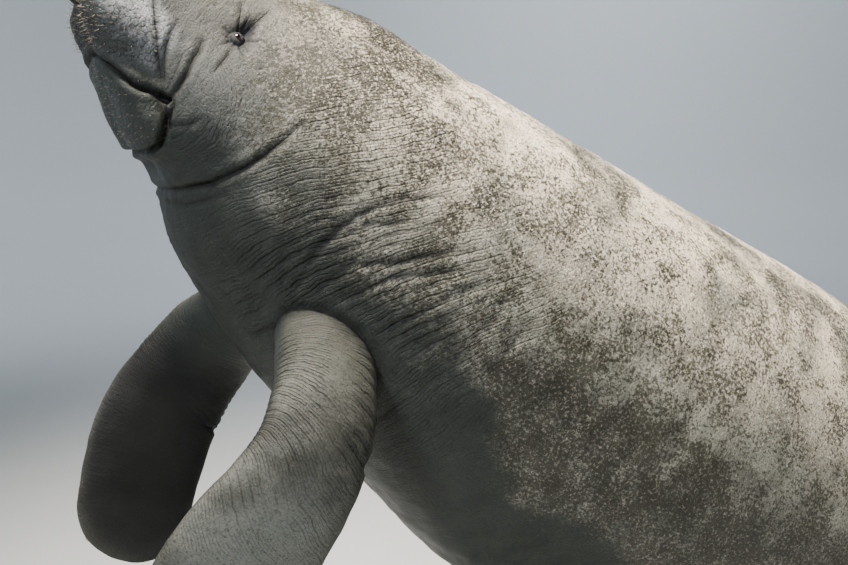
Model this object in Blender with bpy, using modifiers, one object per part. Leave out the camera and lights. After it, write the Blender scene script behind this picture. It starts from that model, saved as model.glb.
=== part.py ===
# A Florida manatee at life size, rising as it swims, held still on a plain display stand.
#
# The body is worked out on a straight axis first: s runs back from the snout tip along that axis, y is
# towards the animal's right and h is up from the axis. bend() then lays the axis in the animal's pose.

import math

import bmesh
import bpy
import numpy as np

GAP = 0.0003  # clearance between two nodes that touch

# The body

LENGTH = 3.0  # snout tip to tail tip, along the axis
# Sections of the body: s, height of the back, depth of the belly, half width, level of the widest point.
STATIONS = (
    (0.060, 0.062, 0.058, 0.070, -0.010),
    (0.100, 0.084, 0.074, 0.085, -0.018),
    (0.150, 0.106, 0.094, 0.101, -0.034),
    (0.200, 0.130, 0.120, 0.117, -0.044),
    (0.240, 0.152, 0.142, 0.134, -0.044),
    (0.280, 0.174, 0.172, 0.156, -0.040),
    (0.330, 0.197, 0.212, 0.185, -0.038),
    (0.420, 0.214, 0.253, 0.218, -0.030),
    (0.530, 0.236, 0.294, 0.248, -0.025),
    (0.700, 0.266, 0.333, 0.288, -0.025),
    (0.950, 0.299, 0.403, 0.335, -0.035),
    (1.250, 0.335, 0.406, 0.358, -0.040),
    (1.550, 0.346, 0.376, 0.355, -0.035),
    (1.850, 0.304, 0.322, 0.318, -0.025),
    (2.100, 0.224, 0.246, 0.264, -0.012),
    (2.300, 0.150, 0.164, 0.210, -0.004),
    (2.450, 0.102, 0.108, 0.205, 0.000),
    (2.600, 0.068, 0.070, 0.265, 0.000),
    (2.740, 0.048, 0.048, 0.310, 0.000),
)
NOSE_S = 0.060  # the snout's blunt end is a dome in front of this
NOSE_BLUNTNESS = 2.8  # superellipse exponent of that dome
PADDLE_WIDEST_S = 2.740  # the tail paddle's rounded end is a half ellipse behind this
PADDLE_RIM = 0.010  # half thickness of the paddle at its very end
ROUNDNESS = 2.15  # superellipse exponent of the sections
# Tilt of the axis above level along s, in degrees.
TILTS = (
    (0.00, 42.0),
    (0.30, 41.0),
    (0.70, 35.0),
    (1.20, 31.0),
    (1.70, 27.0),
    (2.10, 20.0),
    (2.40, 12.0),
    (2.70, 5.0),
    (3.00, 1.0),
)
# Where the body is parted into nodes, and the step between the rings of each.
PARTS = (
    ("head", 0.000, 0.300, 0.0160),
    ("neck", 0.300, 0.410, 0.028),
    ("chest", 0.410, 0.900, 0.050),
    ("belly", 0.900, 1.650, 0.065),
    ("tail_stock", 1.650, 2.330, 0.062),
    ("tail_paddle", 2.330, 3.000, 0.041),
)
SEGMENTS = 48
TAIL_END_RINGS = 7
MUZZLE_S = 0.110  # centre of the rays that shape the muzzle
MUZZLE_RINGS = 9
HEAD_END_S = 0.450  # the swellings of the head have died out here

# Swellings on the head, as ellipsoids: centre and half axes in (s, y, h), tilt of the front, blend.
CHEEK = ((0.262, 0.070, -0.060), (0.080, 0.075, 0.085), 0.0, 0.040)
LIP_PAD = ((0.140, 0.056, -0.045), (0.090, 0.052, 0.053), 2.0, 0.012)
# The lower jaw is a pad like them, squarer, and wider at the back than in front.
JAW_CENTRE, JAW_HALF, JAW_FRONT_UP = (0.1755, 0.000, -0.109), (0.0725, 0.1085, 0.025), 29.0
JAW_SQUARENESS, JAW_TAPER = 2.7, 0.20

# Each eye is a small ball, set deep behind two thick lids that close to a slit.
EYE_S, EYE_H = 0.211, 0.026
EYE_RADIUS = 0.009
EYE_DEPTH = 0.0035  # centre of the ball below the skin
LID_HALF_WIDTH, LID_HALF_HEIGHT, LID_THICKNESS = 0.0140, 0.0088, 0.0056
LID_TILT = 24.0  # the slit rises towards the snout by this many degrees from the axis

# Each nostril is a crescent slit high on the front of the snout.
NOSTRIL_AIM = (-0.080, 0.030, 0.070)  # from the middle of the muzzle, in (s, y, h)
NOSTRIL_RADIUS = 0.0095
NOSTRIL_DEPTH = 0.008
NOSTRIL_HALF_SLIT = 0.0024
NOSTRIL_ARC = 200.0  # degrees


def smooth_through(points):
    """A smooth curve through (x, y) points, as a function of x."""
    xs, ys = np.array(points, float).T
    slopes = np.gradient(ys, xs)

    def value(x):
        x = np.clip(np.asarray(x, float), xs[0], xs[-1])
        i = np.clip(np.searchsorted(xs, x, "right") - 1, 0, len(xs) - 2)
        width = xs[i + 1] - xs[i]
        t = (x - xs[i]) / width
        rise = t * t * (3 - 2 * t)
        pull = t * (1 - t) * width * ((1 - t) * slopes[i] - t * slopes[i + 1])
        return ys[i] * (1 - rise) + ys[i + 1] * rise + pull

    return value


back, belly, beam, widest = (
    smooth_through([(row[0], row[i]) for row in STATIONS]) for i in range(1, 5)
)
tilt = smooth_through(TILTS)


def section(s):
    """Half width, level of the widest point, and half heights above and below it, of the body at s."""
    past = np.clip((s - PADDLE_WIDEST_S) / (LENGTH - PADDLE_WIDEST_S), 0, 1)
    tail = np.sqrt(1 - past**2)
    thin = 1 - past + past * PADDLE_RIM / belly(PADDLE_WIDEST_S)
    level = widest(s)
    return beam(s) * tail, level, (back(s) - level) * thin, (belly(s) + level) * thin


def body_ray(s, turn):
    """The direction, in (y, h), of the point at this turn round the section at s, and how far it lies."""
    half_width, level, up, down = section(s)
    across, along = np.sin(turn), np.cos(turn)
    power = 2 / ROUNDNESS
    y = half_width * np.sign(across) * np.abs(across) ** power
    h = np.where(along > 0, up, down) * np.sign(along) * np.abs(along) ** power
    reach = np.maximum(np.hypot(y, h), 1e-9)
    return y / reach, h / reach, reach


def ellipsoid(point, centre, half, front_up):
    """About the distance from points (s, y, h) to an ellipsoid whose front is tilted up by some degrees."""
    s, y, h = (point[..., i] - centre[i] for i in range(3))
    c, d = math.cos(math.radians(front_up)), math.sin(math.radians(front_up))
    local = np.stack([s * c - h * d, y, s * d + h * c], -1)
    near = np.linalg.norm(local / np.array(half), axis=-1)
    steep = np.maximum(np.linalg.norm(local / np.array(half) ** 2, axis=-1), 1e-9)
    return near * (near - 1) / steep


def merged(a, b, blend):
    """Smooth union of two distances."""
    near = np.maximum(blend - np.abs(a - b), 0) / blend
    return np.minimum(a, b) - near**2 * blend / 4


def head_distance(point):
    """About the distance from points (s, y, h) to the skin of the head, without the lower jaw."""
    s, y, h = point[..., 0], np.abs(point[..., 1]), point[..., 2]
    half_width, level, up, down = section(s)
    rise = h - level
    round_axis = ((y / half_width) ** ROUNDNESS + np.abs(rise / np.where(rise > 0, up, down)) ** ROUNDNESS) ** (
        1 / ROUNDNESS
    )
    ahead = np.maximum(NOSE_S - s, 0)
    size = (round_axis**NOSE_BLUNTNESS + (ahead / NOSE_S) ** NOSE_BLUNTNESS) ** (1 / NOSE_BLUNTNESS)
    distance = np.sqrt(y**2 + rise**2 + ahead**2) * (1 - 1 / np.maximum(size, 1e-3))
    side = np.stack([s, y, h], -1)
    for centre, half, front_up, blend in (CHEEK, LIP_PAD):
        distance = merged(distance, ellipsoid(side, centre, half, front_up), blend)
    return distance


def cast_in(start, direction, reach=0.42, steps=70):
    """Where rays from inside the head leave it, found by walking in from outside."""
    far = np.full(direction.shape[:-1], reach)
    for _ in range(steps):
        far = far - 0.75 * head_distance(start + far[..., None] * direction)
    return start + far[..., None] * direction


def turns(segments):
    return np.arange(segments) * 2 * math.pi / segments


def muzzle_centre():
    return np.array([MUZZLE_S, 0, float(widest(MUZZLE_S))])


def muzzle_rings(count, segments):
    """Rings round the front of the muzzle, from its tip, on rays that fan out from its centre."""
    across, up, _ = body_ray(MUZZLE_S, turns(segments))
    lean = (np.arange(count) / count * math.pi / 2)[:, None]
    direction = np.stack(
        [-np.cos(lean) * np.ones_like(across), np.sin(lean) * across, np.sin(lean) * up], -1
    )
    return cast_in(muzzle_centre(), direction)


def body_rings(places, segments, proud=0.0):
    """Rings round the body at these s, standing proud of the skin by some distance."""
    s = np.asarray(places, float)[:, None]
    across, up, reach = body_ray(s, turns(segments)[None, :])
    level = section(s)[1]
    start = np.stack(np.broadcast_arrays(s, 0 * across, level + 0 * across), -1).astype(float)
    direction = np.stack([0 * across, across, up], -1)
    rings = start + reach[..., None] * direction
    head = s[:, 0] < HEAD_END_S
    rings[head] = cast_in(start[head], direction[head])
    return rings + proud * direction


def axis_table(count=3001):
    """The posed axis: s, and the x and z of each of its points, with the snout tip at the origin."""
    s = np.linspace(0, LENGTH, count)
    lean = np.radians(tilt(s))
    step = np.diff(s)
    middle = (lean[1:] + lean[:-1]) / 2
    x = np.concatenate([[0], np.cumsum(step * np.cos(middle))])
    z = np.concatenate([[0], np.cumsum(-step * np.sin(middle))])
    return s, x, z


AXIS = axis_table()


def bend(point):
    """Straight (s, y, h) to the posed animal, head towards -X, its right side towards +Y, up +Z."""
    point = np.asarray(point, float)
    s, y, h = point[..., 0], point[..., 1], point[..., 2]
    lean = np.radians(tilt(s))
    before = np.minimum(s, 0)
    x = np.interp(s, AXIS[0], AXIS[1]) + before * np.cos(lean) + h * np.sin(lean)
    z = np.interp(s, AXIS[0], AXIS[2]) - before * np.sin(lean) + h * np.cos(lean)
    return np.stack([x, y, z], -1)


# The flippers

# Sections down the left flipper in (s, y, h) with half its width and half its thickness, y being outward.
FLIPPER_STATIONS = (
    (0.522, 0.120, -0.184, 0.066, 0.054),
    (0.526, 0.185, -0.233, 0.066, 0.054),
    (0.534, 0.238, -0.280, 0.067, 0.049),
    (0.542, 0.264, -0.333, 0.069, 0.040),
    (0.543, 0.270, -0.390, 0.074, 0.031),
    (0.542, 0.266, -0.450, 0.082, 0.024),
    (0.553, 0.256, -0.520, 0.087, 0.019),
    (0.572, 0.242, -0.585, 0.083, 0.015),
)
FLIPPER_TIP = (0.605, 0.222, -0.662)
# What the right flipper, turned flatter to the front, adds to each s and half width.
RIGHT_FLIPPER_TURN = (
    (0.000, 0.000),
    (-0.004, 0.004),
    (-0.010, 0.010),
    (-0.014, 0.013),
    (-0.014, 0.012),
    (-0.008, 0.007),
    (-0.002, 0.001),
    (0.000, 0.000),
)
FLIPPER_SEGMENTS = 28
ARM_STEPS, HAND_STEPS, TIP_STEPS = 10, 11, 8
TIP_EDGE = 0.004  # half thickness at the very tip
WRIST = 0.50  # share of the way down at which the arm ends and the hand begins
# Nails stand on the outer face near the tip: share of the way down, and place across from -1 to 1.
NAILS = ((0.930, -0.62), (0.962, -0.18), (0.945, 0.34))
NAIL_HALF_WIDTH, NAIL_HALF_LENGTH, NAIL_HALF_THICKNESS = 0.0085, 0.0125, 0.0030
SIDES = (("left", -1), ("right", 1))


class Flipper:
    """Curves down a flipper by its share of length, and the frame across it."""

    def __init__(self, side):
        self.side = side
        rows = np.array([*FLIPPER_STATIONS, (*FLIPPER_TIP, 0, 0)])
        if side > 0:
            rows[:-1, [0, 3]] += RIGHT_FLIPPER_TURN
        run = np.concatenate([[0], np.cumsum(np.linalg.norm(np.diff(rows[:, :3], axis=0), axis=1))])
        share = run / run[-1]
        self.length = run[-1]
        self.tip_share = share[-2]
        self.centre = [smooth_through(np.stack([share, rows[:, i]], -1)) for i in range(3)]
        self.sizes = [smooth_through(np.stack([share[:-1], rows[:-1, i]], -1)) for i in (3, 4)]

    def middle(self, shares):
        return np.stack([curve(shares) for curve in self.centre], -1)

    def frame(self, shares):
        """Unit vectors back along the body, and out of the flipper's face."""
        down = self.middle(shares + 0.004) - self.middle(shares - 0.004)
        down /= np.linalg.norm(down, axis=-1, keepdims=True)
        rear = np.array([1.0, 0, 0]) - down * down[..., :1]
        rear /= np.linalg.norm(rear, axis=-1, keepdims=True)
        return down, rear, np.cross(rear, down)

    def halves(self, shares):
        """Half width and half thickness."""
        past = np.clip((shares - self.tip_share) / (1 - self.tip_share), 0, 1)
        width = self.sizes[0](shares) * np.sqrt(1 - past**2)
        return width, self.sizes[1](shares) * (1 - past) + TIP_EDGE * past

    def rings(self, shares, segments, proud=0.0):
        _, rear, out = self.frame(shares)
        width, thick = self.halves(shares)
        turn = turns(segments)
        rings = (
            self.middle(shares)[:, None]
            + ((width + proud)[:, None] * np.cos(turn))[..., None] * rear[:, None]
            + ((thick + proud)[:, None] * np.sin(turn))[..., None] * out[:, None]
        )
        return rings * (1, self.side, 1)

# The stand

BASE_LENGTH, BASE_WIDTH, BASE_THICKNESS = 1.700, 0.840, 0.030
BASE_CORNER_RADIUS, BASE_EDGE_RADIUS = 0.120, 0.005
UNDER_CLEARANCE = 0.100  # lowest skin to the top of the base
ROD_RADIUS = 0.035
FLANGE_RADIUS, FLANGE_THICKNESS = 0.085, 0.014
SADDLE_RADIUS, SADDLE_DEPTH = 0.065, 0.050
ROUND_STEPS = 32
RODS = (("front", 1.150), ("rear", 2.020))  # s of the point of the belly above each rod

# Meshes

SHARP = math.radians(50)  # an edge that bends more than this isn't shaded smooth


def new_object(name, mesh, colour, roughness=0.6, metallic=0.0):
    """Links an object with its own material into the part's collection."""
    material = bpy.data.materials.new(name)
    material.use_nodes = True
    shader = material.node_tree.nodes["Principled BSDF"]
    shader.inputs["Base Color"].default_value = (*colour, 1)
    shader.inputs["Roughness"].default_value = roughness
    shader.inputs["Metallic"].default_value = metallic
    material.diffuse_color = (*colour, 1)
    mesh.materials.clear()
    mesh.materials.append(material)
    obj = bpy.data.objects.new(name, mesh)
    PART.objects.link(obj)
    obj.parent = ORIGIN
    return obj


def new_cutter(name, mesh):
    """Links a helper that only shapes other objects."""
    obj = bpy.data.objects.new(name, mesh)
    CUTTERS.objects.link(obj)
    obj.parent = ORIGIN
    obj.hide_render = True
    obj.display_type = "WIRE"
    return obj


def loft(name, rings, start_pole=None, end_pole=None):
    """A closed mesh through rings of points, closed at each end by a pole or by a flat face."""
    count, segments = rings.shape[:2]
    points = [tuple(p) for p in rings.reshape(-1, 3)]
    faces = []
    for i in range(count - 1):
        for j in range(segments):
            k = (j + 1) % segments
            faces.append((i * segments + j, i * segments + k, (i + 1) * segments + k, (i + 1) * segments + j))
    for pole, first in ((start_pole, 0), (end_pole, (count - 1) * segments)):
        ring = [first + j for j in range(segments)]
        if pole is None:
            faces.append(ring)
            continue
        points.append(tuple(pole))
        faces.extend((ring[j], ring[(j + 1) % segments], len(points) - 1) for j in range(segments))
    mesh = bpy.data.meshes.new(name)
    mesh.from_pydata(points, [], faces)
    shape = bmesh.new()
    shape.from_mesh(mesh)
    bmesh.ops.recalc_face_normals(shape, faces=shape.faces)
    shape.to_mesh(mesh)
    shape.free()
    mesh.shade_smooth()
    mesh.set_sharp_from_angle(angle=SHARP)
    return mesh


def reshaped(name, make, change):
    """A bmesh primitive whose points are moved by a function, as a mesh."""
    shape = bmesh.new()
    make(shape)
    points = change(np.array([vertex.co for vertex in shape.verts]))
    for vertex, point in zip(shape.verts, points):
        vertex.co = point
    shape.normal_update()
    bmesh.ops.recalc_face_normals(shape, faces=shape.faces)
    mesh = bpy.data.meshes.new(name)
    shape.to_mesh(mesh)
    shape.free()
    mesh.shade_smooth()
    return mesh


def ball(around, rings):
    return lambda shape: bmesh.ops.create_uvsphere(shape, u_segments=around, v_segments=rings, radius=1)


def boolean(obj, tool, operation="DIFFERENCE"):
    modifier = obj.modifiers.new(f"{operation.lower()} {tool.name}", "BOOLEAN")
    modifier.object = tool
    modifier.operation = operation
    modifier.solver = "EXACT"


def settle(obj):
    """Applies an object's modifiers and keeps the largest closed surface of what they leave."""
    bpy.context.view_layer.update()
    mesh = bpy.data.meshes.new_from_object(obj.evaluated_get(bpy.context.evaluated_depsgraph_get()))
    obj.modifiers.clear()
    shape = bmesh.new()
    shape.from_mesh(mesh)
    bmesh.ops.remove_doubles(shape, verts=shape.verts, dist=2e-6)
    left = set(shape.verts)
    islands = []
    while left:
        island = {left.pop()}
        edge = set(island)
        while edge:
            edge = {v for point in edge for link in point.link_edges for v in link.verts} & left
            island |= edge
            left -= edge
        islands.append(island)
    keep = max(islands, key=len)
    bmesh.ops.delete(shape, geom=[v for v in shape.verts if v not in keep], context="VERTS")
    shape.to_mesh(mesh)
    shape.free()
    mesh.shade_smooth()
    mesh.set_sharp_from_angle(angle=SHARP)
    mesh.name = obj.name
    obj.data = mesh


# Body parts


def part_places(start, end, step):
    """The s of the rings of one length of the body."""
    first = MUZZLE_S if start == 0 else start + GAP / 2
    if end < LENGTH:
        last = end - GAP / 2
        return np.linspace(first, last, round((last - first) / step) + 1)
    straight = np.linspace(first, PADDLE_WIDEST_S, round((PADDLE_WIDEST_S - first) / step), endpoint=False)
    turn = np.linspace(0, math.pi / 2, TAIL_END_RINGS + 1)[:-1]
    return np.concatenate([straight, PADDLE_WIDEST_S + (LENGTH - PADDLE_WIDEST_S) * np.sin(turn)])


def body_part(name, start, end, step):
    """One length of the body, with flat ends, or with its own end at the snout or tail."""
    rings = body_rings(part_places(start, end, step), SEGMENTS)
    start_pole = end_pole = None
    if start == 0:
        front = muzzle_rings(MUZZLE_RINGS, SEGMENTS)
        rings = np.concatenate([front[1:], rings])
        start_pole = bend(front[0, 0])
    if end == LENGTH:
        end_pole = bend((LENGTH, 0, 0))
    return new_object(name, loft(name, bend(rings), start_pole, end_pole), SKIN_GREY)


def swollen_body():
    """The trunk, standing proud of its skin by the gap, to cut what meets it."""
    places = np.concatenate([part_places(*row[1:]) for row in PARTS[1:5]])
    apart = np.concatenate([[True], np.diff(places) > 2 * GAP])
    rings = body_rings(places[apart], SEGMENTS, proud=1.35 * GAP)
    return new_cutter("swollen_body", loft("swollen_body", bend(rings)))


def jaw_mesh(name, proud, around, rings):
    """The lower jaw's thick pad."""
    c, d = math.cos(math.radians(JAW_FRONT_UP)), math.sin(math.radians(JAW_FRONT_UP))

    def place(points):
        points /= (np.abs(points) ** JAW_SQUARENESS).sum(axis=1, keepdims=True) ** (1 / JAW_SQUARENESS)
        s, y, h = (points * (np.array(JAW_HALF) + proud)).T
        y *= 1 + JAW_TAPER * points[:, 0]
        return bend(np.stack([s * c + h * d, y, -s * d + h * c], -1) + np.array(JAW_CENTRE))

    return reshaped(name, ball(around, rings), place)


class SkinSpot:
    """A spot on the head and its own axes: along the skin, across that, and out of it."""

    def __init__(self, start, aim, along):
        aim = np.array(aim, float) / np.linalg.norm(aim)
        self.point = cast_in(np.array(start, float), aim)
        nudges = np.eye(3) * 1e-4
        slope = [head_distance(self.point + n) - head_distance(self.point - n) for n in nudges]
        self.out = np.array(slope) / np.linalg.norm(slope)
        along = np.array(along, float)
        along = along - self.out * (along @ self.out)
        self.along = along / np.linalg.norm(along)
        self.across = np.cross(self.out, self.along)

    def place(self, local):
        """Local (along, across, out) to the posed animal."""
        return bend(self.point + local @ np.stack([self.along, self.across, self.out]))


def eye_spot(side):
    lean = math.radians(LID_TILT)
    return SkinSpot((EYE_S, 0, EYE_H), (0, side, 0), (-math.cos(lean), 0, math.sin(lean)))


def eyeball(name, side, proud, around, rings):
    spot = eye_spot(side)
    middle = np.array([0, 0, -EYE_DEPTH])
    return reshaped(name, ball(around, rings), lambda p: spot.place(p * (EYE_RADIUS + proud) + middle))


def lids(side, around=20, steps=8):
    """The two lids as one thick ring, drawn out to a slit."""
    spot = eye_spot(side)
    name = f"lids_{'left' if side < 0 else 'right'}"
    turn = turns(around)[:, None]
    roll = turns(steps)[None, :]
    reach = 1 + 0 * roll
    local = np.stack(
        [
            np.cos(turn) * (LID_HALF_WIDTH * reach + LID_THICKNESS * np.cos(roll)),
            np.sin(turn) * (LID_HALF_HEIGHT * reach + LID_THICKNESS * np.cos(roll)),
            LID_THICKNESS * np.sin(roll) + 0 * turn,
        ],
        -1,
    )
    points = spot.place(local).reshape(-1, 3)
    faces = []
    for i in range(around):
        for j in range(steps):
            k, m = (i + 1) % around, (j + 1) % steps
            faces.append((i * steps + j, k * steps + j, k * steps + m, i * steps + m))
    mesh = bpy.data.meshes.new(name)
    mesh.from_pydata([tuple(p) for p in points], [], faces)
    shape = bmesh.new()
    shape.from_mesh(mesh)
    bmesh.ops.recalc_face_normals(shape, faces=shape.faces)
    shape.to_mesh(mesh)
    shape.free()
    return new_cutter(name, mesh)


def nostril(side, around=8, steps=11):
    """A crescent slot that tapers to its two ends."""
    s, y, h = NOSTRIL_AIM
    spot = SkinSpot(muzzle_centre(), (s, side * y, h), (0, 1, 0))
    name = f"nostril_{'left' if side < 0 else 'right'}"
    arc = math.radians(NOSTRIL_ARC)
    turn = np.linspace(-arc / 2, arc / 2, steps)[:, None] + math.pi / 2
    taper = np.sqrt(np.clip(1 - np.linspace(-1, 1, steps) ** 2, 0, 1))[:, None] * 0.85 + 0.15
    roll = turns(around)[None, :]
    radius = NOSTRIL_RADIUS + NOSTRIL_HALF_SLIT * taper * np.cos(roll)
    local = np.stack(
        [np.cos(turn) * radius, np.sin(turn) * radius, NOSTRIL_DEPTH * taper * np.sin(roll)], -1
    )
    return new_cutter(name, loft(name, spot.place(local)))


def nail(name, flipper, share, across):
    """One nail, a small curved plate let into the outer face near the tip."""
    share = np.array(share)
    down, rear, out = flipper.frame(share)
    width, thick = flipper.halves(share)
    lean = across * math.pi / 2
    middle = flipper.middle(share) + rear * width * math.sin(lean) + out * thick * math.cos(lean)

    def place(points):
        local = points * (NAIL_HALF_WIDTH, NAIL_HALF_LENGTH, NAIL_HALF_THICKNESS)
        spread = middle + local @ np.stack([rear, down, out])
        return bend(spread * (1, flipper.side, 1))

    return new_object(name, reshaped(name, ball(10, 6), place), NAIL_HORN, 0.45)


def hand_shares(flipper):
    straight = np.linspace(WRIST + GAP, flipper.tip_share, HAND_STEPS, endpoint=False)
    turn = np.linspace(0, math.pi / 2, TIP_STEPS + 1)[:-1]
    return np.concatenate([straight, flipper.tip_share + (1 - flipper.tip_share) * np.sin(turn)])


def flipper_parts(side_name, side):
    """Arm and hand of one flipper, and its nails. side is -1 on the left, 1 on the right."""
    flipper = Flipper(side)
    arm_rings = flipper.rings(np.linspace(0, WRIST - GAP, ARM_STEPS), FLIPPER_SEGMENTS)
    wrist = bend(arm_rings[-1].mean(axis=0))
    arm = new_object(f"arm_{side_name}", loft(f"arm_{side_name}", bend(arm_rings), end_pole=wrist), SKIN_GREY)
    boolean(arm, SWOLLEN)
    settle(arm)
    name = f"hand_{side_name}"
    tip = flipper.middle(np.array(1.0)) * (1, side, 1)
    hand_rings = flipper.rings(hand_shares(flipper), FLIPPER_SEGMENTS)
    wrist = bend(hand_rings[0].mean(axis=0))
    new_object(name, loft(name, bend(hand_rings), wrist, bend(tip)), SKIN_GREY)
    proud_rings = flipper.rings(hand_shares(flipper), FLIPPER_SEGMENTS, proud=1.5 * GAP)
    swollen = new_cutter(f"swollen_{name}", loft(f"swollen_{name}", bend(proud_rings), end_pole=bend(tip)))
    for i, (share, across) in enumerate(NAILS, 1):
        plate = nail(f"nail_{side_name}_{i}", flipper, share, across)
        boolean(plate, swollen)
        settle(plate)


# Stand parts


def reach_of_part():
    """The lowest and highest corner of all that is in the part so far."""
    bpy.context.view_layer.update()
    meshes = [obj for obj in PART.objects if obj.type == "MESH"]
    points = np.array([obj.matrix_world @ vertex.co for obj in meshes for vertex in obj.data.vertices])
    return points.min(axis=0), points.max(axis=0)


def stand_base(top):
    """A flat plate with rounded corners."""

    def make(shape):
        bmesh.ops.create_cube(shape, size=1)

    def place(points):
        middle = np.array([BASE_MIDDLE_X, 0, top - BASE_THICKNESS / 2])
        return points * (BASE_LENGTH, BASE_WIDTH, BASE_THICKNESS) + middle

    mesh = reshaped("stand_base", make, place)
    shape = bmesh.new()
    shape.from_mesh(mesh)
    upright = [edge for edge in shape.edges if abs(edge.verts[0].co.z - edge.verts[1].co.z) > BASE_THICKNESS / 2]
    bmesh.ops.bevel(
        shape, geom=upright, offset=BASE_CORNER_RADIUS, offset_type="OFFSET", segments=8, profile=0.5, affect="EDGES"
    )
    shape.to_mesh(mesh)
    shape.free()
    base = new_object("stand_base", mesh, STAND_PAINT, 0.4)
    edge = base.modifiers.new("eased edges", "BEVEL")
    edge.width = BASE_EDGE_RADIUS
    edge.segments = 2
    edge.limit_method = "ANGLE"
    edge.angle_limit = math.radians(60)
    return base


def turned(name, profile, x, colour, roughness, metallic):
    """A solid turned about an upright axis at x. The profile is (radius, z), from top to bottom."""
    mesh = bpy.data.meshes.new(name)
    mesh.from_pydata([(r, 0, z) for r, z in profile], [(i, i + 1) for i in range(len(profile) - 1)], [])
    obj = new_object(name, mesh, colour, roughness, metallic)
    obj.location.x = x
    screw = obj.modifiers.new("turn", "SCREW")
    screw.steps = screw.render_steps = ROUND_STEPS
    screw.use_merge_vertices = True
    screw.merge_threshold = 0.0001
    return obj


def stand_rod(side_name, s, top):
    """A rod with a flange on the base and a saddle cut to the belly that it carries."""
    x, _, z = bend((s, 0, -float(belly(s))))
    high = z + SADDLE_RADIUS * 1.2
    low = z - SADDLE_DEPTH
    foot = top + GAP
    profile = (
        (0.0, high),
        (SADDLE_RADIUS, high),
        (SADDLE_RADIUS, low),
        (ROD_RADIUS, low - 0.020),
        (ROD_RADIUS, foot + FLANGE_THICKNESS),
        (FLANGE_RADIUS, foot + FLANGE_THICKNESS),
        (FLANGE_RADIUS, foot),
        (0.0, foot),
    )
    rod = turned(f"stand_rod_{side_name}", profile, float(x), STAND_METAL, 0.35, 1.0)
    boolean(rod, SWOLLEN)
    settle(rod)


for stale in list(bpy.data.objects):
    bpy.data.objects.remove(stale)
PART = bpy.data.collections.new("manatee")
CUTTERS = bpy.data.collections.new("cutters")
for collection in (PART, CUTTERS):
    bpy.context.scene.collection.children.link(collection)
ORIGIN = bpy.data.objects.new("origin", None)
PART.objects.link(ORIGIN)

SKIN_GREY = (0.22, 0.20, 0.17)
SKIN_DARK = (0.15, 0.14, 0.13)
EYE_DARK = (0.02, 0.015, 0.012)
NAIL_HORN = (0.45, 0.40, 0.32)
STAND_PAINT = (0.30, 0.31, 0.32)
STAND_METAL = (0.55, 0.56, 0.57)

for row in PARTS:
    body_part(*row)
SWOLLEN = swollen_body()

head = PART.objects["head"]
for side_name, side in SIDES:
    boolean(head, lids(side), "UNION")
for side_name, side in SIDES:
    boolean(head, new_cutter(f"socket_{side_name}", eyeball(f"socket_{side_name}", side, GAP, 12, 8)))
    boolean(head, nostril(side))
    new_object(f"eye_{side_name}", eyeball(f"eye_{side_name}", side, 0, 12, 8), EYE_DARK, 0.1)
boolean(head, new_cutter("swollen_jaw", jaw_mesh("swollen_jaw", 1.2 * GAP, 26, 16)))
settle(head)
new_object("lower_jaw", jaw_mesh("lower_jaw", 0, 26, 16), SKIN_DARK)

for side_name, side in SIDES:
    flipper_parts(side_name, side)

base_top = reach_of_part()[0][2] - UNDER_CLEARANCE
BASE_MIDDLE_X = float(np.mean([bend((s, 0, 0))[0] for _, s in RODS])) - 0.05
for side_name, s in RODS:
    stand_rod(side_name, s, base_top)
stand_base(base_top)

# The part's origin is under the middle of the whole, on the floor.
low, high = reach_of_part()
ORIGIN.location = (-(low[0] + high[0]) / 2, 0, -low[2])
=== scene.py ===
import math
from contextlib import contextmanager

import bmesh
import bpy
import numpy as np
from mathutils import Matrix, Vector


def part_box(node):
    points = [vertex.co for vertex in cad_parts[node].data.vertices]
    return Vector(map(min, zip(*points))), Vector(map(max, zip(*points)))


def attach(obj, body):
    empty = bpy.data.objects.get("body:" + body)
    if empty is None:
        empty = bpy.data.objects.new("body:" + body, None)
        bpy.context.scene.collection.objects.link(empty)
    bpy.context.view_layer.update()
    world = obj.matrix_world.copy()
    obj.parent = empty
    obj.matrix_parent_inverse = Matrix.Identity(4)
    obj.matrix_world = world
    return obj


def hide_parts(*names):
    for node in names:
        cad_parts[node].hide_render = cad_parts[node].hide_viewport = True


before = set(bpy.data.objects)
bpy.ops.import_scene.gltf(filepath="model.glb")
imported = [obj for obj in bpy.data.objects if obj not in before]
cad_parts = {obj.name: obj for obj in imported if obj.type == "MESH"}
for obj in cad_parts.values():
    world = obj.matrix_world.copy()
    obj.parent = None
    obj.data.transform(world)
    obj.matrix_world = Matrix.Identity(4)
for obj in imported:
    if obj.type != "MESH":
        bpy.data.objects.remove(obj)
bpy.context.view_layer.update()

# Skin.
# One hide from snout to paddle, thick and wrinkled, grown over the whole animal. It is laid out on the
# same straight axis as the solids, (s back from the snout, y to its right, h up), and then bent.

LENGTH = 3.0
# In millimetres: s, height of the back, depth of the belly, half width, level of the widest point
STATIONS = np.array((
    (60, 62, 58, 70, -10), (100, 84, 74, 85, -18), (150, 106, 94, 101, -34),
    (200, 130, 120, 117, -44), (240, 152, 142, 134, -44), (280, 174, 172, 156, -40),
    (330, 197, 212, 185, -38), (420, 214, 253, 218, -30), (530, 236, 294, 248, -25),
    (700, 266, 333, 288, -25), (950, 299, 403, 335, -35), (1250, 335, 406, 358, -40),
    (1550, 346, 376, 355, -35), (1850, 304, 322, 318, -25), (2100, 224, 246, 264, -12),
    (2300, 150, 164, 210, -4), (2450, 102, 108, 205, 0), (2600, 68, 70, 265, 0),
    (2740, 48, 48, 310, 0),
)) / 1000
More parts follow.
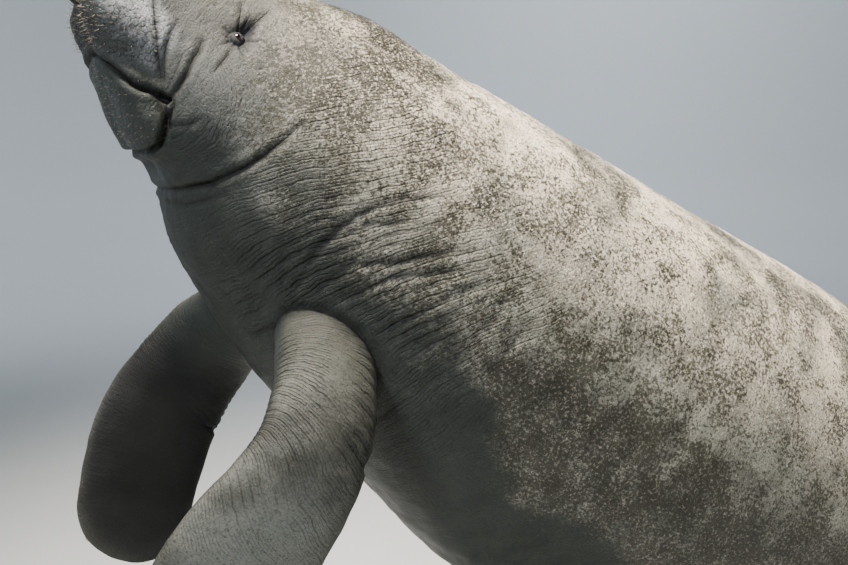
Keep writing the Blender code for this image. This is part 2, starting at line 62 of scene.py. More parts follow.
# s and tilt of the axis above level, in degrees
TILTS = (
    (0.00, 42.0), (0.30, 41.0), (0.70, 35.0), (1.20, 31.0), (1.70, 27.0), (2.10, 20.0), (2.40, 12.0),
    (2.70, 5.0), (3.00, 1.0),
)
NOSE_S, NOSE_BLUNTNESS = 0.060, 2.8
PADDLE_WIDEST_S, PADDLE_RIM = 2.740, 0.010
ROUNDNESS = 2.15
MUZZLE_S, HEAD_END_S = 0.110, 0.450
CHEEK = ((0.262, 0.070, -0.060), (0.080, 0.075, 0.085), 0.0, 0.040)
LIP_PAD = ((0.140, 0.056, -0.045), (0.090, 0.052, 0.053), 2.0, 0.012)
JAW_CENTRE, JAW_HALF, JAW_FRONT_UP = (0.1755, 0.000, -0.109), (0.0725, 0.1085, 0.025), 29.0
JAW_SQUARENESS, JAW_TAPER, JAW_BLEND = 2.7, 0.20, 0.020
SINK = 0.0006  # the hide's ground lies this far inside the solids
CAST_FROM, CAST_STEPS = 0.42, 70


def smooth_through(points):
    """A smooth curve through (x, y) points, as a function of x."""
    xs, ys = np.array(points, float).T
    slopes = np.gradient(ys, xs)

    def value(x):
        x = np.clip(np.asarray(x, float), xs[0], xs[-1])
        i = np.clip(np.searchsorted(xs, x, "right") - 1, 0, len(xs) - 2)
        width = xs[i + 1] - xs[i]
        t = (x - xs[i]) / width
        rise = t * t * (3 - 2 * t)
        pull = t * (1 - t) * width * ((1 - t) * slopes[i] - t * slopes[i + 1])
        return ys[i] * (1 - rise) + ys[i + 1] * rise + pull

    return value


back, belly, beam, widest = (
    smooth_through(STATIONS[:, [0, i]]) for i in range(1, 5)
)
tilt = smooth_through(TILTS)


def section(s):
    """Half width, level of the widest point, and half heights above and below it, at s."""
    past = np.clip((s - PADDLE_WIDEST_S) / (LENGTH - PADDLE_WIDEST_S), 0, 1)
    tail = np.sqrt(1 - past**2)
    thin = 1 - past + past * PADDLE_RIM / belly(PADDLE_WIDEST_S)
    level = widest(s)
    return beam(s) * tail, level, (back(s) - level) * thin, (belly(s) + level) * thin


def body_ray(s, turn):
    """The direction, in (y, h), of the point at this turn round the section at s, and how far it lies."""
    half_width, level, up, down = section(s)
    across, along = np.sin(turn), np.cos(turn)
    power = 2 / ROUNDNESS
    y = half_width * np.sign(across) * np.abs(across) ** power
    h = np.where(along > 0, up, down) * np.sign(along) * np.abs(along) ** power
    reach = np.maximum(np.hypot(y, h), 1e-9)
    return y / reach, h / reach, reach


def tipped(point, centre, half, front_up):
    """Points (s, y, h) in the axes of a pad whose front is tipped up, as shares of its half sizes."""
    s, y, h = (point[..., i] - centre[i] for i in range(3))
    c, d = math.cos(math.radians(front_up)), math.sin(math.radians(front_up))
    return np.stack([s * c - h * d, y, s * d + h * c], -1) / np.array(half)


def pad_distance(point, centre, half, front_up):
    share = tipped(point, centre, half, front_up)
    near = np.linalg.norm(share, axis=-1)
    steep = np.maximum(np.linalg.norm(share / np.array(half), axis=-1), 1e-9)
    return near * (near - 1) / steep


def jaw_distance(point):
    """About the distance to the lower jaw's pad, squarer than a plain one and wider behind."""
    share = tipped(point, JAW_CENTRE, JAW_HALF, JAW_FRONT_UP)
    share[..., 1] /= 1 + JAW_TAPER * np.clip(share[..., 0], -1, 1)
    size = np.maximum(np.abs(share), 1e-9)
    near = (size**JAW_SQUARENESS).sum(-1) ** (1 / JAW_SQUARENESS)
    steep = np.linalg.norm((size / near[..., None]) ** (JAW_SQUARENESS - 1) / np.array(JAW_HALF), axis=-1)
    return near * (near - 1) / np.maximum(steep, 1e-9)


def merged(a, b, blend):
    """Smooth union of two distances."""
    near = np.maximum(blend - np.abs(a - b), 0) / blend
    return np.minimum(a, b) - near**2 * blend / 4


def trunk_distance(point):
    """About the distance from points (s, y, h) to the body without its swellings."""
    s, y, h = point[..., 0], np.abs(point[..., 1]), point[..., 2]
    half_width, level, up, down = section(s)
    rise = h - level
    round_axis = (
        (y / half_width) ** ROUNDNESS + np.abs(rise / np.where(rise > 0, up, down)) ** ROUNDNESS
    ) ** (1 / ROUNDNESS)
    ahead = np.maximum(NOSE_S - s, 0)
    size = (round_axis**NOSE_BLUNTNESS + (ahead / NOSE_S) ** NOSE_BLUNTNESS) ** (1 / NOSE_BLUNTNESS)
    return np.sqrt(y**2 + rise**2 + ahead**2) * (1 - 1 / np.maximum(size, 1e-3))


def folded(point):
    """Points with both sides laid over each other, and y outward."""
    return point * (1, 0, 1) + np.abs(point) * (0, 1, 0)


def skull_distance(point):
    """About the distance to the head without its lower jaw."""
    distance = trunk_distance(point)
    for *pad, blend in (CHEEK, LIP_PAD):
        distance = merged(distance, pad_distance(folded(point), *pad), blend)
    return distance


def head_distance(point):
    return merged(skull_distance(point), jaw_distance(point), JAW_BLEND)


def cast_in(start, direction, distance=head_distance):
    """Where rays from inside the head leave it, found by walking in from outside."""
    far = np.full(direction.shape[:-1], CAST_FROM)
    for _ in range(CAST_STEPS):
        far = far - 0.75 * distance(start + far[..., None] * direction)
    return start + far[..., None] * direction


def slope(distance, point, reach=2e-4):
    """The way out of a surface at points on it."""
    steps = np.eye(3) * reach
    return np.stack([distance(point + step) - distance(point - step) for step in steps], -1) / (2 * reach)


def settle_on(distance, point, rounds=4):
    """Moves points onto the surface where a distance is nought."""
    for _ in range(rounds):
        rise = slope(distance, point)
        point = point - rise * (distance(point) / np.maximum((rise**2).sum(-1), 0.05))[..., None]
    return point


def turns(segments):
    return np.arange(segments) * 2 * math.pi / segments


def axis_table():
    """Where the bent axis lies at each millimetre of it."""
    s = np.linspace(0, LENGTH, 3001)
    lean = np.radians(tilt(s))
    step = np.diff(s)
    middle = (lean[1:] + lean[:-1]) / 2
    x = np.concatenate([[0], np.cumsum(step * np.cos(middle))])
    z = np.concatenate([[0], np.cumsum(-step * np.sin(middle))])
    return s, x, z


AXIS = axis_table()


def bend(point):
    """Straight (s, y, h) to the posed animal, with the snout tip at the origin."""
    point = np.asarray(point, float)
    s, y, h = point[..., 0], point[..., 1], point[..., 2]
    lean = np.radians(tilt(s))
    before = np.minimum(s, 0)
    x = np.interp(s, AXIS[0], AXIS[1]) + before * np.cos(lean) + h * np.sin(lean)
    z = np.interp(s, AXIS[0], AXIS[2]) - before * np.sin(lean) + h * np.cos(lean)
    return np.stack([x, y, z], -1)


class Spot:
    """A spot on the head and its own axes: along the skin, across that, and out of it."""

    def __init__(self, start, aim, along):
        aim = np.array(aim, float) / np.linalg.norm(aim)
        self.point = cast_in(np.array(start, float), aim, skull_distance)
        out = slope(skull_distance, self.point, 1e-4)
        self.out = out / np.linalg.norm(out)
        along = np.array(along, float)
        along = along - self.out * (along @ self.out)
        self.along = along / np.linalg.norm(along)
        self.across = np.cross(self.out, self.along)

    def place(self, local):
        """Local (along, across, out) to straight (s, y, h)."""
        return self.point + local @ np.stack([self.along, self.across, self.out])

    def local(self, point):
        return (point - self.point) @ np.stack([self.along, self.across, self.out]).T


EYE_S, EYE_H, EYE_RADIUS, EYE_DEPTH, LID_TILT = 0.211, 0.026, 0.009, 0.0035, 24.0
NOSTRIL_AIM, NOSTRIL_RADIUS, NOSTRIL_DEPTH = (-0.080, 0.030, 0.070), 0.0095, 0.008
lid_lean = math.radians(LID_TILT)
slit_along = (-math.cos(lid_lean), 0, math.sin(lid_lean))
eyes = [Spot((EYE_S, 0, EYE_H), (0, side, 0), slit_along) for side in (-1, 1)]
muzzle_middle = np.array([MUZZLE_S, 0, float(widest(MUZZLE_S))])
nostrils = [
    Spot(muzzle_middle, (NOSTRIL_AIM[0], side * NOSTRIL_AIM[1], NOSTRIL_AIM[2]), (0, 1, 0))
    for side in (-1, 1)
]

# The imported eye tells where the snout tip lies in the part's own frame.
eye_low, eye_high = (np.array(corner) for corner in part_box("eye_left"))
SNOUT = (eye_low + eye_high) / 2 - bend(eyes[0].place(np.array([0, 0, -EYE_DEPTH])))

# Sections down the left flipper, in millimetres: s, y outward, h, half width, half thickness
FLIPPER_STATIONS = np.array((
    (522, 120, -184, 66, 54),
    (526, 185, -233, 66, 54),
    (534, 238, -280, 67, 49),
    (542, 264, -333, 69, 40),
    (543, 270, -390, 74, 31),
    (542, 266, -450, 82, 24),
    (553, 256, -520, 87, 19),
    (572, 242, -585, 83, 15),
)) / 1000
FLIPPER_TIP = (0.605, 0.222, -0.662)
# What the right flipper, turned flatter to the front, adds to each s and half width
RIGHT_FLIPPER_TURN = (
    (0.000, 0.000), (-0.004, 0.004), (-0.010, 0.010), (-0.014, 0.013), (-0.014, 0.012), (-0.008, 0.007),
    (-0.002, 0.001), (0.000, 0.000),
)
TIP_EDGE = 0.004


class Flipper:
    """Curves down a flipper by its share of length, and the frame across it."""

    def __init__(self, side):
        self.side = side
        rows = np.array([*FLIPPER_STATIONS, (*FLIPPER_TIP, 0, 0)])
        if side > 0:
            rows[:-1, [0, 3]] += RIGHT_FLIPPER_TURN
        run = np.concatenate([[0], np.cumsum(np.linalg.norm(np.diff(rows[:, :3], axis=0), axis=1))])
        share = run / run[-1]
        self.length = run[-1]
        self.tip_share = share[-2]
        self.centre = [smooth_through(np.stack([share, rows[:, i]], -1)) for i in range(3)]
        self.sizes = [smooth_through(np.stack([share[:-1], rows[:-1, i]], -1)) for i in (3, 4)]

    def middle(self, shares):
        return np.stack([curve(shares) for curve in self.centre], -1)

    def frame(self, shares):
        """Unit vectors down the flipper, back along the body, and out of the flipper's face."""
        down = self.middle(shares + 0.004) - self.middle(shares - 0.004)
        down /= np.linalg.norm(down, axis=-1, keepdims=True)
        rear = np.array([1.0, 0, 0]) - down * down[..., :1]
        rear /= np.linalg.norm(rear, axis=-1, keepdims=True)
        return down, rear, np.cross(rear, down)

    def halves(self, shares):
        """Half width and half thickness."""
        past = np.clip((shares - self.tip_share) / (1 - self.tip_share), 0, 1)
        width = self.sizes[0](shares) * np.sqrt(1 - past**2)
        return width, self.sizes[1](shares) * (1 - past) + TIP_EDGE * past

    def rings(self, shares, segments):
        _, rear, out = self.frame(shares)
        width, thick = self.halves(shares)
        turn = turns(segments)
        rings = (
            self.middle(shares)[:, None]
            + (width[:, None] * np.cos(turn))[..., None] * rear[:, None]
            + (thick[:, None] * np.sin(turn))[..., None] * out[:, None]
        )
        return rings * (1, self.side, 1)

    def local(self, point):
        """Share of the way down, and places back and out from the middle, of points beside it."""
        shares = np.linspace(0, 1, 121)
        point = point * (1, self.side, 1)
        gaps = np.stack([((point - row) ** 2).sum(-1) for row in self.middle(shares)], -1)
        share = shares[gaps.argmin(-1)]
        for _ in range(2):
            down, rear, out = self.frame(share)
            off = point - self.middle(share)
            share = np.clip(share + (off * down).sum(-1) / self.length, 0, 1)
        down, rear, out = self.frame(share)
        off = point - self.middle(share)
        return share, (off * rear).sum(-1), (off * out).sum(-1)

    def distance(self, point):
        share, rear, out = self.local(point)
        width, thick = self.halves(np.minimum(share, 0.97))
        near = np.maximum(np.hypot(rear / width, out / thick), 1e-6)
        steep = np.maximum(np.hypot(rear / width**2, out / thick**2), 1e-6)
        return near * (near - 1) / steep


flippers = {side: Flipper(side) for side in (-1, 1)}


@contextmanager
def edited(mesh, source=None):
    """Opens a mesh, or a copy of another one's shape in its place, and writes the changes back."""
    shape = bmesh.new()
    shape.from_mesh(source or mesh)
    shape.verts.ensure_lookup_table()
    yield shape
    shape.to_mesh(mesh)
    shape.free()


class Sheet:
    """A closed mesh put together from rings of points, the number in a ring halving where asked."""

    def __init__(self, first_pole):
        self.points, self.faces, self.last = [first_pole], [], [0]

    def add(self, ring):
        first = len(self.points)
        self.points.extend(ring)
        new = list(range(first, len(self.points)))
        old, n = self.last, len(new)
        around = [(j, (j + 1) % n) for j in range(n)]
        if len(old) == 1:
            self.faces.extend((old[0], new[k], new[j]) for j, k in around)
        elif len(old) == n:
            self.faces.extend((old[j], old[k], new[k], new[j]) for j, k in around)
        elif len(old) == 2 * n:
            for j, k in around:
                a, b, c = old[2 * j], old[2 * j + 1], old[2 * k]
                self.faces.extend([(a, b, new[j]), (b, new[k], new[j]), (b, c, new[k])])
        else:
            self.faces.extend((old[j], old[(j + 1) % len(old)], new[0]) for j in range(len(old)))
        self.last = new

    def mesh(self, name):
        mesh = bpy.data.meshes.new(name)
        mesh.from_pydata([tuple(point) for point in self.points], [], self.faces)
        with edited(mesh) as shape:
            bmesh.ops.recalc_face_normals(shape, faces=shape.faces)
        return mesh


def placed(name, data):
    """Puts an object in the scene."""
    made = bpy.data.objects.new(name, data)
    bpy.context.scene.collection.objects.link(made)
    return made


def evaluated_mesh(made):
    """An object's mesh as its modifiers leave it."""
    bpy.context.view_layer.update()
    return bpy.data.meshes.new_from_object(made.evaluated_get(bpy.context.evaluated_depsgraph_get()))


def spaced(knots, start, end):
    """Places from start to end whose spacing follows (place, spacing) knots."""
    at, gap = np.array(knots).T
    fine = np.linspace(start, end, 4000)
    between = np.interp((fine[1:] + fine[:-1]) / 2, at, gap)
    count = np.concatenate([[0], np.cumsum(np.diff(fine) / between)])
    return np.interp(np.linspace(0, count[-1], round(count[-1]) + 1), count, fine)


# Points round the head, halved and quartered further back, and (s, spacing) of the rings
HEAD_SEGMENTS, MUZZLE_RINGS, HALVED_S, QUARTERED_S = 288, 38, 0.800, 1.350
RING_SPACING = (
    (0.110, 0.0032), (0.240, 0.0034), (0.360, 0.0050), (0.800, 0.0060), (1.300, 0.020), (2.740, 0.024),
)
TAIL_RINGS = 17

across, up, _ = body_ray(MUZZLE_S, turns(HEAD_SEGMENTS))
lean = (np.arange(MUZZLE_RINGS) / MUZZLE_RINGS * math.pi / 2)[:, None]
rays = np.stack([-np.cos(lean) * np.ones_like(across), np.sin(lean) * across, np.sin(lean) * up], -1)
muzzle = cast_in(muzzle_middle, rays)
hide = Sheet(muzzle[0, 0])
for ring in muzzle[1:]:
    hide.add(ring)
places = spaced(RING_SPACING, MUZZLE_S, PADDLE_WIDEST_S)
tail_turn = np.linspace(0, math.pi / 2, TAIL_RINGS + 2)[1:-1]
places = np.concatenate([places, PADDLE_WIDEST_S + (LENGTH - PADDLE_WIDEST_S) * np.sin(tail_turn)])
for segments, chosen in (
    (HEAD_SEGMENTS, places[places < HALVED_S]),
    (HEAD_SEGMENTS // 2, places[(places >= HALVED_S) & (places < QUARTERED_S)]),
    (HEAD_SEGMENTS // 4, places[places >= QUARTERED_S]),
):
    s = chosen[:, None]
    across, up, reach = body_ray(s, turns(segments)[None, :])
    level = section(s)[1]
    start = np.stack(np.broadcast_arrays(s, 0 * across, level + 0 * across), -1).astype(float)
    direction = np.stack([0 * across, across, up], -1)
    rings = start + reach[..., None] * direction
    near = chosen < HEAD_END_S
    if near.any():
        rings[near] = cast_in(start[near], direction[near])
    for ring in rings:
        hide.add(ring)
hide.add([np.array([LENGTH, 0, 0])])

FLIPPER_SEGMENTS, FLIPPER_RINGS, TIP_RINGS = 60, 160, 24
trunk = placed("trunk", hide.mesh("trunk"))
limbs = []
for side, flipper in flippers.items():
    straight = np.linspace(0, flipper.tip_share, FLIPPER_RINGS, endpoint=False)
    tip_turn = np.linspace(0, math.pi / 2, TIP_RINGS + 1)[:-1]
    shares = np.concatenate([straight, flipper.tip_share + (1 - flipper.tip_share) * np.sin(tip_turn)])
    rings = flipper.rings(shares, FLIPPER_SEGMENTS)
    limb = Sheet(rings[0].mean(axis=0))
    for ring in rings:
        limb.add(ring)
    limb.add([flipper.middle(np.array(1.0)) * (1, side, 1)])
    limb = placed("limb", limb.mesh("limb"))
    limbs.append(limb)
    joined = trunk.modifiers.new("limb", "BOOLEAN")
    joined.operation = "UNION"
    joined.solver = "MANIFOLD"
    joined.object = limb
skin_mesh = evaluated_mesh(trunk)
for spare in (trunk, *limbs):
    bpy.data.objects.remove(spare)


def rows_of(items, field):
    """A field of three numbers for each item."""
    flat = np.empty(len(items) * 3)
    items.foreach_get(field, flat)
    return flat.reshape(-1, 3)


def points_of(mesh):
    return rows_of(mesh.vertices, "co")


def set_points(mesh, points):
    mesh.vertices.foreach_set("co", np.ascontiguousarray(points, float).ravel())
    mesh.update()


def limb_distance(point):
    return np.where(point[..., 1] < 0, flippers[-1].distance(point), flippers[1].distance(point))


def refined(mesh, chosen):
    """Splits the faces whose points are all chosen."""
    with edited(mesh) as shape:
        inside = chosen(np.array([vertex.co for vertex in shape.verts]))
        edges = [edge for edge in shape.edges if all(inside[end.index] for end in edge.verts)]
        bmesh.ops.subdivide_edges(shape, edges=edges, cuts=1, use_grid_fill=True)


# The hide is drawn over the root of each flipper, about this s, with a web of this radius.
ROOT_S, ROOT_REACH, WEB = 0.53, 0.16, 0.012
points = points_of(skin_mesh)
near_root = (np.abs(trunk_distance(points)) < WEB) & (points[:, 2] < -0.1)
near_root &= np.abs(points[:, 0] - ROOT_S) < ROOT_REACH
near_root[near_root] &= limb_distance(points[near_root]) < WEB
points[near_root] = settle_on(
    lambda p: merged(trunk_distance(p), limb_distance(p), WEB), points[near_root], 3
)
set_points(skin_mesh, points)

with edited(skin_mesh) as shape:
    seam = [vertex for vertex in shape.verts if near_root[vertex.index]]
    axes = dict.fromkeys(("use_axis_x", "use_axis_y", "use_axis_z"), True)
    for _ in range(6):
        bmesh.ops.smooth_vert(shape, verts=seam, factor=0.4, **axes)


# The line where the lips meet, from the middle to the corner, as (s, |y|, h) in millimetres
MOUTH = np.array((
    (106, 0, -87), (108.5, 16, -88.5), (113, 36, -92.5), (119.7, 59, -97.9), (128.5, 73, -100.6),
    (141.7, 89, -102.9), (154.4, 100, -103), (166.1, 104, -100.2), (177.3, 102, -95.5),
    (186.7, 104, -92.5), (196.9, 113, -92.7),
)) / 1000


def near_line(point, line):
    """Distance from points to a line of points, the share of the way along it, and a way across it."""
    runs = np.linalg.norm(np.diff(line, axis=0), axis=1)
    best = np.full(len(point), 1e9)
    share = np.zeros(len(point))
    across = np.zeros((len(point), 3))
    gone = 0
    for a, b, run in zip(line[:-1], line[1:], runs):
        t = np.clip((point - a) @ (b - a) / run**2, 0, 1)
        gap = point - a - t[:, None] * (b - a)
        off = np.linalg.norm(gap, axis=1)
        closer = off < best
        share = np.where(closer, (gone + t * run) / runs.sum(), share)
        across[closer] = np.cross((b - a) / run, gap[closer])
        best = np.minimum(best, off)
        gone += run
    return best, share, across


# Folds on each side, in millimetres: depth, half width, and points (s, |y|, h) that the fold runs through
FOLDS = (
    (3.4, 4.2, (
        (106, 88, 4), (116, 95, -9), (124, 101, -19), (134, 106, -31), (146, 108, -44), (157, 107, -57),
        (170, 104, -69), (182, 104, -82), (192, 108, -91),
    )),
    (2.6, 4, (
        (149, 101, -10), (154, 107, -29), (159, 109, -45), (170, 107, -63), (179, 107, -74),
        (187, 108, -85),
    )),
    (2.4, 3.8, ((176.5, 113, -34), (183, 116, -58), (187.5, 115.5, -73), (191, 112, -85))),
    (6.2, 4.6, (
        (184, 112, -10), (187, 117, -22), (188, 119, -34), (193, 124, -57), (196, 121, -75),
        (197, 114, -92),
    )),
    (1.8, 3.6, ((215.3, 135.9, -35.3), (214.2, 132.4, -21.2), (214.8, 128.5, -7), (214.9, 123, 8.7))),
    (8, 4.4, (
        (188, 106, -94), (199.2, 109.5, -100), (211.1, 113.8, -108.6), (219.5, 113.1, -116.8),
        (225.6, 100.3, -133.5), (225.5, 80.7, -146.4), (223.2, 32.9, -153.3), (223, 0, -154),
    )),
    (4, 3.6, (
        (199.8, 119.3, -87.2), (205.7, 119.9, -94.6), (210.2, 117.7, -103.1), (214.1, 113.3, -112.2),
    )),
    (1.3, 3.4, ((217, 114, -114), (224, 122, -111), (230, 130, -104), (235, 137, -97), (237, 142, -86))),
    (6, 4, (
        (277, 0, -169), (278, 30, -168), (279, 59, -166), (286, 102, -154), (296, 130, -138),
        (303, 151, -116), (308, 161, -102), (314, 172, -78), (320, 180, -47), (325, 182, -14),
    )),
    (2, 3.4, ((290, 30, -178), (298, 80, -172), (305, 118, -158), (313, 145, -138))),
    (4, 4.4, ((455, 70, -262), (459, 90, -253), (461, 115, -243), (464, 138, -230), (468, 160, -215))),
    (3.4, 4.2, (
        (451, 166, -199), (436, 188, -163), (427, 201, -130), (429, 215, -90), (442, 224, -52),
        (470, 232, -13), (526, 242, 34),
    )),
    (2.4, 3.6, ((432, 197, -144), (429, 209, -111), (452, 226, -67), (490, 236, -30))),
    (3, 4.2, (
        (462, 169, -201), (460, 196, -163), (466, 218, -118), (504, 237, -85), (541, 250, -44),
        (590, 262, 0),
    )),
    (2.8, 3.8, (
        (475, 181, -192), (484, 207, -158), (497, 220, -136), (512, 235, -103), (544, 249, -72),
        (585, 260, -38),
    )),
    (2.8, 3.8, ((546, 224, -162), (562, 242, -128), (579, 256, -84), (605, 266, -46), (640, 274, -12))),
)

FACE_FOLDS = 9  # the first of them, whose ground is made finer
fold_lines = [settle_on(head_distance, np.array(line) / 1000) for _, _, line in FOLDS]
mouth_line = settle_on(head_distance, MOUTH)


def by_a(spots, reach):
    """Tells which points lie this near to one of the spots."""
    return lambda p: np.min([np.linalg.norm(p - spot.point, axis=-1) for spot in spots], axis=0) < reach


MOUTH_REACH, FOLD_REACH, NOSTRIL_REACH, SEAM_REACH = 0.0095, 0.0055, 0.017, 0.009


def by_the_mouth(p):
    return near_line(folded(p), MOUTH)[0] < MOUTH_REACH


def by_the_folds(p):
    near = np.zeros(len(p), bool)
    close = p[:, 0] < 0.36
    offs = [near_line(folded(p[close]), line)[0] for line in fold_lines[:FACE_FOLDS]]
    near[close] = np.min(offs, axis=0) < FOLD_REACH
    return near


def by_a_flipper_root(p):
    near = (p[:, 0] > 0.40) & (p[:, 0] < 0.66) & (p[:, 2] < -0.1) & (trunk_distance(p) < 0.02)
    near[near] &= np.abs(limb_distance(p[near]) - trunk_distance(p[near])) < SEAM_REACH
    return near


by_a_nostril = by_a(nostrils, NOSTRIL_REACH)
for chosen in (
    by_a_flipper_root, by_the_folds, by_a(eyes, 0.030), by_a(eyes, 0.0165), by_a_nostril, by_the_mouth,
):
    refined(skin_mesh, chosen)
points = points_of(skin_mesh)
fresh = by_a(eyes, 0.036)(points) | by_a_nostril(points) | by_the_mouth(points) | by_the_folds(points)
points[fresh] = settle_on(head_distance, points[fresh])
set_points(skin_mesh, points)


def drift(point, size, seed):
    """Smooth random values from -1 to 1 over space, with features of this size."""
    table = np.random.default_rng(seed).uniform(-1, 1, 4096)
    at = point / size
    corner = np.floor(at).astype(np.int64)
    share = at - corner
    share = share * share * (3 - 2 * share)
    total = 0
    for i in range(8):
        bits = np.array([i & 1, i >> 1 & 1, i >> 2 & 1])
        key = (corner + bits) @ np.array([73856093, 19349663, 83492791])
        weight = np.prod(np.where(bits, share, 1 - share), axis=-1)
        total = total + table[(key ^ key >> 13) & 4095] * weight
    return total


def ramp(low, high, value):
    """0 at the low value, 1 at the high one, and smooth between them."""
    t = np.clip((value - low) / (high - low), 0, 1)
    return t * t * (3 - 2 * t)


def bell(off, width):
    """1 at nought, falling away smoothly past this width."""
    return np.exp(-((off / width) ** 2))


def furrows(phase, spacing, width):
    """1 in narrow furrows at whole spacings, and 0 between them."""
    return bell(np.abs((phase / spacing + 0.5) % 1 - 0.5) * spacing, width)


straight = points_of(skin_mesh)
mirror = np.stack([np.ones(len(straight)), np.where(straight[:, 1] < 0, -1, 1), np.ones(len(straight))], -1)
side_y = straight * mirror
normals = rows_of(skin_mesh.vertex_normals, "vector")
outward_way = normals * mirror
s, y, h = side_y.T
out_of_trunk = trunk_distance(straight)
# How much nearer each point lies to the trunk than to a flipper: nought where they meet
beside = np.full(len(straight), 0.1)
by_limb = (s > 0.38) & (s < 0.75) & (h < -0.08)
beside[by_limb] = np.clip(limb_distance(straight[by_limb]) - out_of_trunk[by_limb], -0.1, 0.1)
fin = ramp(0.004, -0.006, beside)
share = np.zeros(len(straight))
rear = np.zeros(len(straight))
outward = np.zeros(len(straight))
for side, flipper in flippers.items():
    own = (fin > 0) & (np.sign(straight[:, 1]) == side)
    share[own], rear[own], outward[own] = flipper.local(straight[own])
fin_width = np.maximum(flippers[-1].halves(share)[0], 0.02)
run = share * flippers[-1].length
trunk_share = 1 - fin

relief = np.zeros(len(straight))


def wander(size, seed):
    """Drift over the hide."""
    return drift(straight, size, seed)


# A thin line of painted shade is drawn along every fold: how far each point lies to one side of the nearest
# one
crease_shade_off = np.full(len(straight), 0.02)
crease_shade_share = np.zeros(len(straight))


def paint_crease_shade(signed, share):
    weight = share * bell(signed, 0.008)
    nearer = weight > crease_shade_share
    crease_shade_off[nearer] = signed[nearer]
    crease_shade_share[nearer] = weight[nearer]


def side_of(across):
    """Which side of a line each point lies on, by the line's way across."""
    return np.sign((across * outward_way).sum(-1))


# The mouth is a deep furrow, deepest at its corner, with full lips above and below it.
mouth_off, mouth_run, across = near_line(side_y, mouth_line)
MOUTH_DEPTH, MOUTH_WIDTH, CORNER_DEPTH, CORNER_WIDTH = 0.0080, 0.0036, 0.0028, 0.0065
LIP_HEIGHT, LIP_OFF, LIP_WIDTH = 0.0026, 0.0105, 0.0055
from_corner = np.linalg.norm(side_y - MOUTH[-1], axis=1)
corner = bell(from_corner, CORNER_WIDTH)
mouth = bell(mouth_off, MOUTH_WIDTH)
relief -= mouth * (MOUTH_DEPTH + 0.0030 * ramp(0.5, 0.95, mouth_run)) + CORNER_DEPTH * corner
relief += LIP_HEIGHT * bell(mouth_off - LIP_OFF, LIP_WIDTH) * ramp(1.0, 0.85, mouth_run)
paint_crease_shade(mouth_off * side_of(across), 1.0)
# A groove parts the cushions in the middle of the upper lip
PARTING_DEPTH, PARTING_WIDTH = 0.0080, 0.0085
parting = ramp(0.125, 0.090, s) * ramp(0.010, -0.010, h)
relief -= PARTING_DEPTH * parting * bell(y, PARTING_WIDTH)

# Folds as deep as this get the darkest painted shade along them
DARKEST_DEPTH = 0.0045
for (depth, width, _), line in zip(FOLDS, fold_lines):
    depth, width = depth / 1000, width / 1000
    off, along, across = near_line(side_y, line)
    ends = np.sin(math.pi * np.clip(along * 0.94 + 0.03, 0, 1)) ** 0.5
    wave = 1 + 0.25 * wander(0.03, 5)
    relief -= trunk_share * depth * wave * ends * bell(off, width)
    relief += trunk_share * 0.22 * depth * ends * bell(off - 2.2 * width, 1.3 * width)
    fading = min(1, depth / DARKEST_DEPTH) ** 0.5 * (1 - 0.55 * (s > 0.4))
    paint_crease_shade(off * side_of(across), trunk_share * ends * fading)

# Lids: a low dome over the ball, open in a slit, in a hollow with folds that run out from it.
# Each fold: its aim, with 0 to the rear, 90 down and -90 up, its strength and how far it reaches
EYE_SET_IN, LID_RADIUS, SLIT_HALF_LENGTH, SLIT_HALF_HEIGHT = 0.0045, 0.0106, 0.0076, 0.0022
EYE_FOLDS = (
    (88, 0.5, 0.030), (52, 0.3, 0.022), (22, 0.5, 0.040), (-14, 0.3, 0.026), (-46, 0.6, 0.036),
    (-78, 0.5, 0.036), (-106, 1.2, 0.078), (-122, 0.8, 0.060), (-139, 1.1, 0.078), (-164, 0.4, 0.026),
    (158, 0.5, 0.028), (122, 0.3, 0.022),
)
HOLLOW_DEPTH, HOLLOW_WIDTH, BROW_DEPTH, FOLD_DEPTH, LID_DROP = 0.0058, 0.0165, 0.0080, 0.0024, 0.009
eye_shade = np.zeros(len(straight))
for spot in eyes:
    u, v, w = spot.local(straight).T
    v = v * np.sign(spot.across[2]) * -1
    reach = np.hypot(u, v)
    close = (reach < 0.085) & (np.abs(w) < 0.04)
    aim = np.degrees(np.arctan2(v, -u))
    pit = -HOLLOW_DEPTH * bell(reach, HOLLOW_WIDTH)
    # Under the brow the hollow runs on above the eye, a little forward
    up_brow = 0.31 * u - 0.95 * v
    brow = np.exp(-(((up_brow - 0.0190) / 0.0165) ** 2) - ((0.95 * u + 0.31 * v) / 0.0080) ** 2)
    pit -= BROW_DEPTH * brow
    rays = np.zeros(len(u))
    ring = ramp(0.0065, 0.012, reach)
    for aimed, strength, end in EYE_FOLDS:
        off = np.radians((aim - aimed + 180) % 360 - 180) * reach
        fade = strength * ramp(end, 0.5 * end, reach) * ring * close
        rays += fade * bell(off, 0.0013 + 0.06 * reach)
        paint_crease_shade(off, np.minimum(0.6 * fade, 1))
    ball = np.sqrt(np.maximum(LID_RADIUS**2 - reach**2, 0)) - EYE_DEPTH - EYE_SET_IN
    dome = np.maximum(pit, np.where(reach < LID_RADIUS, ball - 0.0012, -1))
    half_slit = SLIT_HALF_HEIGHT * np.clip(1 - (u / SLIT_HALF_LENGTH) ** 2, 0, 1)
    opening = ramp(0.0006, -0.0006, np.abs(v) - half_slit)
    height = dome * (1 - opening) - LID_DROP * opening - FOLD_DEPTH * rays
    relief += np.where(close, height, 0)
    # The eye's hollow and the hollow under the brow are marked to be painted darker as shade
    eye_shade += np.where(close, bell(reach, 0.0115) + 0.9 * np.clip(1.3 * brow - 0.2, 0, 1), 0)

